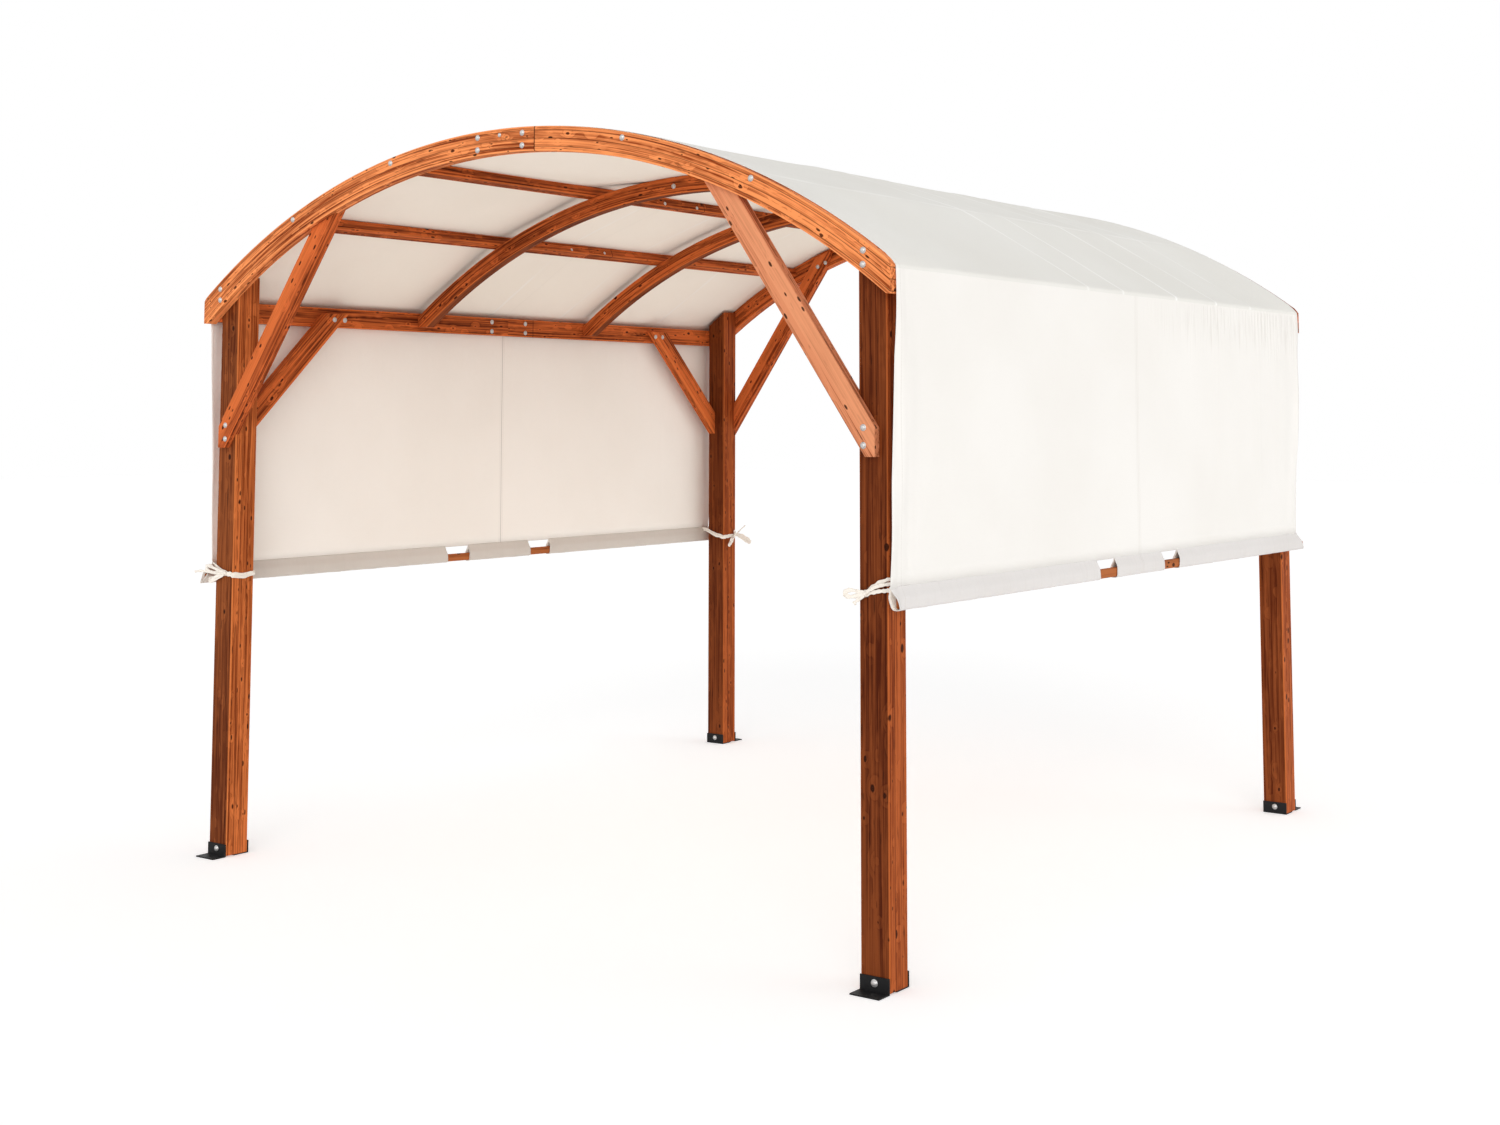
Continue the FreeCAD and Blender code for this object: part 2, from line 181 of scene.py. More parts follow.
def newMaterial(name):
    material = bpy.data.materials.new(name)
    material.use_nodes = True
    tree = material.node_tree
    tree.nodes.clear()
    out = addNode(tree, "ShaderNodeOutputMaterial", (1600, 0))
    shader = addNode(tree, "ShaderNodeBsdfPrincipled", (1200, 0))
    tree.links.new(shader.outputs[0], out.inputs[0])
    return material, tree, shader, sumsFor(tree)


def objectPlace(tree):
    return addNode(tree, "ShaderNodeTexCoord", (-900, 0)).outputs["Object"]


def addBump(tree, shader, height, strength, distance):
    bump = addNode(tree, "ShaderNodeBump", (900, -300))
    bump.inputs["Strength"].default_value = strength
    bump.inputs["Distance"].default_value = distance
    tree.links.new(height, bump.inputs["Height"])
    tree.links.new(bump.outputs[0], shader.inputs["Normal"])


# Small helpers for objects
def addObject(name, data):
    obj = bpy.data.objects.new(name, data)
    scene.collection.objects.link(obj)
    return obj


def applyModifiers(obj):
    bpy.context.view_layer.update()
    evaluated = obj.evaluated_get(bpy.context.evaluated_depsgraph_get())
    solid = bpy.data.meshes.new_from_object(evaluated)
    obj.modifiers.clear()
    obj.data = solid


def softNoise(x, y, z):
    return noise.noise(Vector((x, y, z)))


# Camera at the photograph's angle
photoView = {
    "place": (4.3482, -6.0518, 1.5748),
    "tilt": 0.0846,
    "turn": 0.6232,
    "lens": 45.812,
    "shift": (-0.0201, -0.2047),
}
cameraData = bpy.data.cameras.new("photoCamera")
cameraData.sensor_width = 36
cameraData.lens = photoView["lens"]
cameraData.shift_x, cameraData.shift_y = photoView["shift"]
cameraObject = addObject("photoCamera", cameraData)
cameraObject.location = photoView["place"]
cameraObject.rotation_euler = (math.pi / 2 + photoView["tilt"], 0, photoView["turn"])
scene.camera = cameraObject
print("camera set")


# Timber: one grain group for every board, with knots, glue lines and a painted highlight along the eased
# edges
# A noise is (scale across, scale along, detail, roughness, offset)
grainShape = {
    "boardStep": 7.31,
    "ringWander": (4.5, 0.45, 2.0, 0.5),
    "ringWaver": (15.0, 1.5, 3.0, 0.55, 3.0),
    "ringsAcross": 62.0,
    "ringsDeep": 44.0,
    "ringBends": (8.0, 1.9, 1.5, 11.0),  # by wander, waver, knots and board
    "lateWoodPower": 2.6,
    "lateWoodDark": 0.30,
    "fleck": (120.0, 11.0, 2.0, 0.5, 33.0),
    "fleckRange": (0.655, 0.715),
    "fleckDark": 0.55,
    "boardDark": 0.12,
    "knotsPale": (-0.22, -0.16),  # round large and small knots
    "toneMiddle": 0.34,
    # edge range and colour of the painted highlight along the arrises
    "edgeHighlightRange": (-0.0055, -0.0030),
    "edgeHighlight": (1.12, 1.22, 1.25),
    "glueRange": (0.0003, 0.0016),
}
# What darkens the wood: a noise, the range of it that counts, and how much
grainLayers = {
    "fibre": ((420.0, 6.0, 4.0, 0.65), (0.32, 0.72), 0.14),
    "streak": ((85.0, 1.3, 4.0, 0.6, 9.0), (0.38, 0.66), 0.34),
    "blotch": ((7.0, 1.1, 3.0, 0.5, 5.0), (0.36, 0.64), 0.26),
    "patch": ((26.0, 3.2, 3.0, 0.6, 14.0), (0.52, 0.70), 0.22),
    "line": ((190.0, 2.2, 3.0, 0.55, 21.0), (0.40, 0.66), 0.34),
}
# Cells across and along, share of cells with a knot, least size, spread of sizes, offset
knotShape = {
    "large": (19.0, 11.0, 1.45, 0.064, 0.092, 1.7),
    "small": (45.0, 17.0, 1.10, 0.085, 0.11, 8.3),
    "wobble": (70.0, 50.0, 2.0, 0.6),
    "wobbleSize": 0.10,
    "coreRange": (0.75, 1.10),
    "haloRange": (0.8, 3.8),
    "rings": 17.0,
}


def buildTimberGroup():
    group, gin, gout, do = newGroup(
        "timberGrain",
        [
            ("Board Space", "NodeSocketVector", None),
            ("Light Wood", "NodeSocketColor", (0.5, 0.2, 0.08, 1)),
            ("Dark Wood", "NodeSocketColor", (0.2, 0.06, 0.02, 1)),
            ("Knot Color", "NodeSocketColor", (0.03, 0.01, 0.004, 1)),
            ("Half Across", "NodeSocketFloat", 0.04),
            ("Half Deep", "NodeSocketFloat", 0.02),
            ("Board Width", "NodeSocketFloat", 0.032),
            ("Board Offset", "NodeSocketFloat", 0.0),
            ("Glue Line", "NodeSocketFloat", 0.6),
            ("Knot Amount", "NodeSocketFloat", 0.5),
            ("Contrast", "NodeSocketFloat", 1.55),
            ("Seed", "NodeSocketFloat", 0.0),
        ],
        [
            ("Color", "NodeSocketColor"),
            ("Roughness", "NodeSocketFloat"),
            ("Height", "NodeSocketFloat"),
        ],
    )
    links = group.links
    across, deep, along = do.separate(gin["Board Space"])
    # which laminated board a point is in, and how near it is to the glue line
    boards = do.over(do.plus(across, gin["Board Offset"]), gin["Board Width"])
    boardPart = do.fraction(boards)
    fromEdge = do.times(do.least(boardPart, do.minus(1.0, boardPart)), gin["Board Width"])
    boardSeed = do.timesPlus(do.floor(boards), grainShape["boardStep"], gin["Seed"])
    boardNoise = addNode(group, "ShaderNodeTexWhiteNoise", noise_dimensions="1D")
    links.new(boardSeed, boardNoise.inputs["W"])
    boardTone = boardNoise.outputs["Value"]

    def stretchedPlace(scaleAcross, scaleAlong, offset):
        return do.combine(do.timesPlus(across, scaleAcross, boardSeed), do.times(deep, scaleAcross),
                          do.timesPlus(along, scaleAlong, offset))

    def stretched(scaleAcross, scaleAlong, detail, roughness, offset=0.0):
        return do.noise(stretchedPlace(scaleAcross, scaleAlong, offset), 1.0, detail, roughness)

    # knots sit in stretched cells, and the grain bows round them
    def knotLayer(scaleAcross, scaleAlong, share, least, spread, offset):
        cell = addNode(group, "ShaderNodeTexVoronoi", feature="F1", voronoi_dimensions="3D")
        cell.inputs["Scale"].default_value = 1.0
        links.new(stretchedPlace(scaleAcross, scaleAlong, offset), cell.inputs["Vector"])
        pick = addNode(group, "ShaderNodeSeparateColor")
        links.new(cell.outputs["Color"], pick.inputs[0])
        chosen = do.below(pick.outputs[0], do.times(gin["Knot Amount"], share))
        size = do.timesPlus(pick.outputs[1], spread, least)
        wobble = stretched(*knotShape["wobble"], offset + 3.0)
        distance = do.timesPlus(wobble, knotShape["wobbleSize"], cell.outputs["Distance"])
        ratio = do.over(do.minus(distance, knotShape["wobbleSize"] / 2), size)
        core = do.times(do.ramp(ratio, *knotShape["coreRange"], 1.0, 0.0), chosen)
        halo = do.times(do.ramp(ratio, *knotShape["haloRange"], 1.0, 0.0), chosen)
        return core, halo, ratio

    core, halo, ratio = knotLayer(*knotShape["large"])
    smallCore, smallHalo = knotLayer(*knotShape["small"])[:2]

    # growth rings: long bands that wander, bent by the knots
    ringPlace = do.timesPlus(deep, grainShape["ringsDeep"], do.times(across, grainShape["ringsAcross"]))
    bends = (stretched(*grainShape["ringWander"]), stretched(*grainShape["ringWaver"]), halo, boardTone)
    for bend, weight in zip(bends, grainShape["ringBends"]):
        ringPlace = do.timesPlus(bend, weight, ringPlace)
    ringPart = do.fraction(ringPlace)
    ringEnd = do.ramp(ringPart, 0.90, 1.0, 1.0, 0.0)
    lateWood = do.times(do.power(ringPart, grainShape["lateWoodPower"]), ringEnd)

    # tone is 0 in the lightest wood and 1 in the darkest
    tone = do.times(lateWood, grainShape["lateWoodDark"])
    layers = {}
    for word, (noiseShape, span, weight) in grainLayers.items():
        layers[word] = stretched(*noiseShape)
        tone = do.timesPlus(do.ramp(layers[word], *span), weight, tone)
    weights = (grainShape["boardDark"], *grainShape["knotsPale"])
    for mask, weight in zip((boardTone, halo, smallHalo), weights):
        tone = do.timesPlus(mask, weight, tone)
    tone = do.times(do.minus(tone, grainShape["toneMiddle"]), gin["Contrast"], clamp=True)
    color = do.mix(tone, gin["Light Wood"], gin["Dark Wood"])
    fleck = do.ramp(stretched(*grainShape["fleck"]), *grainShape["fleckRange"])
    color = do.mix(do.times(fleck, grainShape["fleckDark"]), color, gin["Knot Color"])
    # painted highlight: the eased edges are made lighter, in patches, where the rounded arris would catch
    # the light
    edge = do.least(do.minus(do.absolute(across), gin["Half Across"]),
                    do.minus(do.absolute(deep), gin["Half Deep"]))
    wearAndHighlight = do.ramp(layers["patch"], 0.30, 0.62, 0.55, 1.0)
    edgeHighlightMask = do.times(do.ramp(edge, *grainShape["edgeHighlightRange"]), wearAndHighlight)
    edgeHighlightColor = do.mix(1.0, gin["Light Wood"], grainShape["edgeHighlight"], "MULTIPLY")
    color = do.mix(edgeHighlightMask, color, do.mix(0.8, color, edgeHighlightColor))
    # knots and glue lines lie over the grain
    ringed = do.sine(do.times(ratio, knotShape["rings"]))
    knotColor = do.mix(do.ramp(ringed, -0.6, 0.9, 0.0, 0.45), gin["Knot Color"], gin["Dark Wood"])
    color = do.mix(do.times(core, 0.94), color, knotColor)
    color = do.mix(do.times(smallCore, 0.9), color, gin["Knot Color"])
    glue = do.times(do.ramp(fromEdge, *grainShape["glueRange"], 1.0, 0.0), gin["Glue Line"])
    links.new(do.mix(glue, color, gin["Knot Color"]), gout["Color"])
    rough = do.timesPlus(layers["fibre"], 0.14, do.timesPlus(tone, 0.10, 0.44))
    links.new(rough, gout["Roughness"])
    height = do.times(lateWood, 0.30)
    for relief, depth in ((layers["fibre"], 0.35), (core, -0.5), (glue, -0.9)):
        height = do.timesPlus(relief, depth, height)
    links.new(height, gout["Height"])
    return group


# How far the grain is shifted from one length of timber to the next, and how wide a joint line is
spaceSteps = {
    "archHalf": 9.3,
    "archEnd": 23.1,
    "board": (3.7, 7.9),
    "crownLine": (0.0010, 0.0032),
    "lapLine": (0.0008, 0.0028),
}


# Where a point lies in an arch: out from the middle of its depth, through it, and along it
def buildArchSpaceGroup():
    group, gin, gout, do = newGroup(
        "archSpace",
        [("Point", "NodeSocketVector", None), ("Centre Height", "NodeSocketFloat", archCentreZ),
         ("Middle Radius", "NodeSocketFloat", archRadius), ("Middle Depth", "NodeSocketFloat", 1.542),
         ("Lap", "NodeSocketFloat", 0.14)],
        [("Board Space", "NodeSocketVector"), ("Joint", "NodeSocketFloat")],
    )
    x, y, z = do.separate(gin["Point"])
    lift = do.minus(z, gin["Centre Height"])
    reach = do.root(do.timesPlus(x, x, do.times(lift, lift)))
    radial = do.minus(reach, gin["Middle Radius"])
    through = do.minus(do.absolute(y), gin["Middle Depth"])
    alongArc = do.times(do.angle(x, lift), gin["Middle Radius"])
    # each half of the arch is its own length of timber, and front and back arches differ
    seam = do.times(gin["Lap"], do.sign(through))
    alongArc = do.timesPlus(do.sign(do.minus(x, seam)), spaceSteps["archHalf"], alongArc)
    alongArc = do.timesPlus(do.sign(y), spaceSteps["archEnd"], alongArc)
    group.links.new(do.combine(radial, through, alongArc), gout["Board Space"])
    gap = do.absolute(do.minus(x, gin["Lap"]))
    joint = do.times(do.ramp(gap, *spaceSteps["crownLine"], 1.0, 0.0), do.above(through, 0.0))
    group.links.new(joint, gout["Joint"])
    return group


# Where a point lies in a straight board that stands in mirrored places
def buildBoardSpaceGroup():
    group, gin, gout, do = newGroup(
        "boardSpace",
        [("Point", "NodeSocketVector", None), ("Middle", "NodeSocketVector", (0, 0, 0)),
         ("Turn", "NodeSocketVector", (0, 0, 0)), ("Lap", "NodeSocketFloat", 0.0)],
        [("Board Space", "NodeSocketVector"), ("Joint", "NodeSocketFloat")],
    )
    links = group.links
    x, y, z = do.separate(gin["Point"])
    stepX, stepY = spaceSteps["board"]
    corner = do.timesPlus(do.sign(x), stepX, do.times(do.sign(y), stepY))
    shift = addNode(group, "ShaderNodeVectorMath", operation="SUBTRACT")
    links.new(do.combine(do.absolute(x), do.absolute(y), z), shift.inputs[0])
    links.new(gin["Middle"], shift.inputs[1])
    turn = addNode(group, "ShaderNodeVectorRotate", rotation_type="EULER_XYZ")
    links.new(shift.outputs[0], turn.inputs["Vector"])
    links.new(gin["Turn"], turn.inputs["Rotation"])
    across, deep, along = do.separate(turn.outputs[0])
    links.new(do.combine(across, deep, do.plus(along, corner)), gout["Board Space"])
    # the lap joint of a beam or purlin shows as a thin dark line on the side that faces in
    gap = do.absolute(do.minus(y, gin["Lap"]))
    hasLap = do.above(gin["Lap"], 0.01)
    line = do.times(do.ramp(gap, *spaceSteps["lapLine"], 1.0, 0.0), hasLap)
    links.new(do.times(line, do.below(across, 0.0)), gout["Joint"])
    return group


timberGroup = buildTimberGroup()
archSpaceGroup = buildArchSpaceGroup()
boardSpaceGroup = buildBoardSpaceGroup()

timberLooks = {
    "archLight": (0.95, 0.310, 0.102),
    "archDark": (0.26, 0.043, 0.008),
    # painted glare: the front right arch brace has a paler copy of the brace timber, a sheen of strong light
    # on its front
    "paleBraceLight": (0.70, 0.260, 0.125),
    "paleBraceDark": (0.23, 0.055, 0.016),
    "braceLight": (0.64, 0.135, 0.033),
    "braceDark": (0.14, 0.022, 0.004),
    "palePostLight": (0.64, 0.170, 0.044),
    "palePostDark": (0.19, 0.033, 0.006),
    "postLight": (0.45, 0.104, 0.0245),
    "postDark": (0.135, 0.0190, 0.0030),
    "backPostLight": (0.54, 0.129, 0.0325),
    "backPostDark": (0.18, 0.028, 0.0045),
    "innerLight": (0.66, 0.145, 0.034),
    "innerDark": (0.095, 0.0155, 0.0034),
    "railLight": (0.42, 0.120, 0.036),
    "railDark": (0.14, 0.032, 0.009),
    "knot": (0.016, 0.0045, 0.0020),
    "bump": 0.30,
    "shine": 0.05,
    "jointDark": 0.85,
}


def timberMaterial(name, palette, space, half, middle=(0, 0, 0), turn=(0, 0, 0), lap=0.0, boardWidth=1.0,
                   boardOffset=0.5, glue=0.6, knots=0.6, seed=0.0, radius=None, depth=None):
    material, tree, shader, do = newMaterial(name)
    place = addNode(tree, "ShaderNodeGroup", (-600, 0), node_tree=space)
    tree.links.new(objectPlace(tree), place.inputs["Point"])
    place.inputs["Lap"].default_value = lap
    if radius is None:
        place.inputs["Middle"].default_value = middle
        place.inputs["Turn"].default_value = turn
    else:
        place.inputs["Middle Radius"].default_value = radius
        place.inputs["Middle Depth"].default_value = depth
    grain = addNode(tree, "ShaderNodeGroup", (-200, 0), node_tree=timberGroup)
    tree.links.new(place.outputs["Board Space"], grain.inputs["Board Space"])
    settings = {
        "Light Wood": (*timberLooks[palette + "Light"], 1),
        "Dark Wood": (*timberLooks[palette + "Dark"], 1),
        "Knot Color": (*timberLooks["knot"], 1),
        "Half Across": half[0],
        "Half Deep": half[1],
        "Board Width": boardWidth,
        "Board Offset": boardOffset,
        "Glue Line": glue,
        "Knot Amount": knots,
        "Seed": seed,
    }
    for socketName, value in settings.items():
        grain.inputs[socketName].default_value = value
    joint = do.times(place.outputs["Joint"], timberLooks["jointDark"])
    tree.links.new(do.mix(joint, grain.outputs["Color"], timberLooks["knot"]), shader.inputs["Base Color"])
    tree.links.new(grain.outputs["Roughness"], shader.inputs["Roughness"])
    height = do.minus(grain.outputs["Height"], place.outputs["Joint"])
    addBump(tree, shader, height, timberLooks["bump"], 0.001)
    shader.inputs["Specular IOR Level"].default_value = timberLooks["shine"]
    return material


quarter = math.pi / 2
postHalf = frameSizes["postHalf"]
postSquare = (postHalf, postHalf)
archHalf = (frameSizes["archDepth"] / 2, frameSizes["archThickness"] / 2)
rafterHalf = (frameSizes["rafterDepth"] / 2, frameSizes["rafterThickness"] / 2)
purlinHalf = (frameSizes["purlinWidth"] / 2, frameSizes["purlinHeight"] / 2)
beamHalf = (frameSizes["beamThickness"] / 2, (frameSizes["beamTopZ"] - frameSizes["beamBottomZ"]) / 2)
archPlace = {"lap": frameSizes["crownLap"], "boardWidth": frameSizes["archBoard"], "boardOffset": 0.0,
             "radius": archRadius - archHalf[0], "depth": frameHalfY - archHalf[1]}
rafterPlace = {"lap": frameSizes["rafterLap"], "boardWidth": rafterHalf[0], "boardOffset": 0.0,
               "radius": rafterRadius - rafterHalf[0], "depth": frameSizes["rafterY"]}
postPlace = {"middle": (frameSizes["postX"], frameSizes["postY"], 0), "turn": (0, 0, quarter),
             "boardWidth": postHalf * 2 / 3, "boardOffset": postHalf, "glue": 0.55, "knots": 0.62}
beamPlace = {"middle": (frameHalfX - beamHalf[0], 0, frameSizes["beamBottomZ"] + beamHalf[1]),
             "turn": (quarter, 0, 0), "lap": frameSizes["beamLap"]}
# the front of an arch brace lies in the middle plane of the arch, and a side brace ends with the post's side
braceHalf = (0.038, 0.020)
braceFrontY = postOuterY + archHalf[1]
bracePlace = {"middle": (1.1565, braceFrontY - braceHalf[1], 1.8),
              "turn": (0, quarter - math.radians(55), 0)}
sideBracePlace = {"middle": (postOuterX - braceHalf[1], 1.23, 1.75), "turn": (math.radians(-45), 0, 0)}
railHalf = (0.010, 0.015)
railPlace = {"middle": (eaveX, 0, 1.0), "turn": (quarter, 0, 0)}


def purlinTimber(name, at, seed):
    middle = purlinRadius - purlinHalf[1]
    lean = math.asin(at / middle)
    return timberMaterial(name, "inner", boardSpaceGroup, purlinHalf,
                          middle=(at, 0, archCentreZ + middle * math.cos(lean)), turn=(quarter, 0, -lean),
                          lap=frameSizes["purlinLap"], seed=seed, knots=0.55)


timbers = {
    "arch": timberMaterial("archTimber", "arch", archSpaceGroup, archHalf, glue=0.75, knots=0.85, seed=2.0,
                           **archPlace),
    "archBack": timberMaterial("backArchTimber", "inner", archSpaceGroup, archHalf, seed=31.0,
                               **archPlace),
    "rafter": timberMaterial("rafterTimber", "inner", archSpaceGroup, rafterHalf, knots=0.5, seed=17.0,
                             **rafterPlace),
    "post": timberMaterial("postTimber", "post", boardSpaceGroup, postSquare, seed=5.0, **postPlace),
    "palePost": timberMaterial("palePostTimber", "palePost", boardSpaceGroup, postSquare, seed=6.0,
                               **postPlace),
    "backPost": timberMaterial("backPostTimber", "backPost", boardSpaceGroup, postSquare, seed=6.0,
                               **postPlace),
    "beam": timberMaterial("beamTimber", "inner", boardSpaceGroup, beamHalf, seed=9.0, **beamPlace),
    "purlinUpper": purlinTimber("upperPurlinTimber", frameSizes["purlinX"][0], 13.0),
    "purlinLower": purlinTimber("lowerPurlinTimber", frameSizes["purlinX"][1], 15.0),
    # brace timber with the painted glare
    "paleBrace": timberMaterial("glareBraceTimber", "paleBrace", boardSpaceGroup, braceHalf, seed=21.0,
                                **bracePlace),
    "brace": timberMaterial("braceTimber", "brace", boardSpaceGroup, braceHalf, seed=24.0, **bracePlace),
    "sideBrace": timberMaterial("sideBraceTimber", "inner", boardSpaceGroup, braceHalf[::-1], seed=27.0,
                                **sideBracePlace),
    "rail": timberMaterial("hemRailTimber", "rail", boardSpaceGroup, railHalf, seed=29.0, **railPlace),
}
# The longer start of a name comes after the shorter one and replaces its timber
timberFor = (
    ("arch_front", "arch"), ("arch_back", "archBack"), ("rafter", "rafter"), ("post_front", "post"),
    ("post_front_left", "palePost"), ("post_back", "post"), ("post_back_right", "backPost"),
    ("eave_beam", "beam"), ("purlin_upper", "purlinUpper"),
    ("purlin_lower", "purlinLower"), ("arch_brace", "brace"), ("arch_brace_front_right", "paleBrace"),
    ("side_brace", "sideBrace"), ("hem_rail", "rail"),
)


def setMaterial(obj, material):
    obj.data.materials.clear()
    obj.data.materials.append(material)


for nodeName, obj in nodes.items():
    for start, key in timberFor:
        if nodeName.startswith(start):
            setMaterial(obj, timbers[key])
print("timber on the frame")

# Powder coated steel of the post brackets
steelLooks = {
    "color": (0.008, 0.008, 0.0085),
    "dust": (0.10, 0.085, 0.07),
    "dustAmount": 0.25,
    "roughness": 0.50,
    "shine": 0.25,
}


def bracketMaterial():
    material, tree, shader, do = newMaterial("bracketSteel")
    place = objectPlace(tree)
    cloud = do.noise(place, 60.0, 5.0)
    fine = do.noise(place, 900.0)
    dusty = do.ramp(cloud, 0.60, 0.82, 0.0, steelLooks["dustAmount"])
    tree.links.new(do.mix(dusty, steelLooks["color"], steelLooks["dust"]), shader.inputs["Base Color"])
    tree.links.new(do.timesPlus(cloud, 0.3, steelLooks["roughness"] - 0.12), shader.inputs["Roughness"])
    shader.inputs["Specular IOR Level"].default_value = steelLooks["shine"]
    addBump(tree, shader, fine, 0.25, 0.0005)
    return material


bracketSteel = bracketMaterial()
for nodeName, obj in nodes.items():
    if nodeName.startswith("post_bracket"):
        setMaterial(obj, bracketSteel)
print("bracket steel")


# Canopy cloth: plain weave, soft creases and sewn seams, from the sheet's own map in metres
canopyLooks = {
    # painted light: these are lit and shaded copies of one cloth; the drops are lighter than the roof, and
    # the inside lighter and warmer, for light through the cloth and bounce under the roof
    "outside": (0.835, 0.820, 0.776),
    "litOutsideDrop": (0.895, 0.870, 0.832),
    # painted shade: the hems are greyer than the drops, the left one most, for the shade in the folded
    # double layer
    "hems": ((0.66, 0.60, 0.54), (0.745, 0.715, 0.695)),
    "inside": (0.95, 0.872, 0.770),
    "insideDrop": (0.97, 0.912, 0.842),
    "threadAndFoldShade": (0.55, 0.50, 0.44),
    "creaseHighlightColor": (0.98, 0.97, 0.94),
    "shadeColor": (0.965, 0.960, 0.952),
    "roughness": 0.88,
    "centreSeam": 0.012,
    "roofSeam": 0.12,
    "roofCreases": (-0.366, -0.085, 0.360, 0.698, 1.028),
    # places of the painted highlight where the cloth bends over the purlins
    "purlinBends": (0.53, 1.052),
    "thickness": 0.0014,
    "hemMapFrom": 6.0,
}
# Sizes of what the cloth group draws, in metres along the cloth or as waves in a metre
weaveShape = {
    "threads": 5200.0,
    "seamLine": (0.0012, 0.0030),
    "felled": 0.010,
    "edgeStitch": 0.022,
    "felledLine": (0.0008, 0.0018),
    "edgeStitchLine": (0.0008, 0.0020),
    "stitchWaves": 1500.0,
    "creaseLine": (0.0025, 0.0110),
    "bendLine": (0.003, 0.016),
    "creaseWander": (1.9, 0.014, 0.05),
    "gatherEnd": (0.03, 0.24),
    "hemGather": 0.35,
    "edgeFolds": (105.0, 9.0),
    "edgeFoldReach": (0.015, 0.110),
}


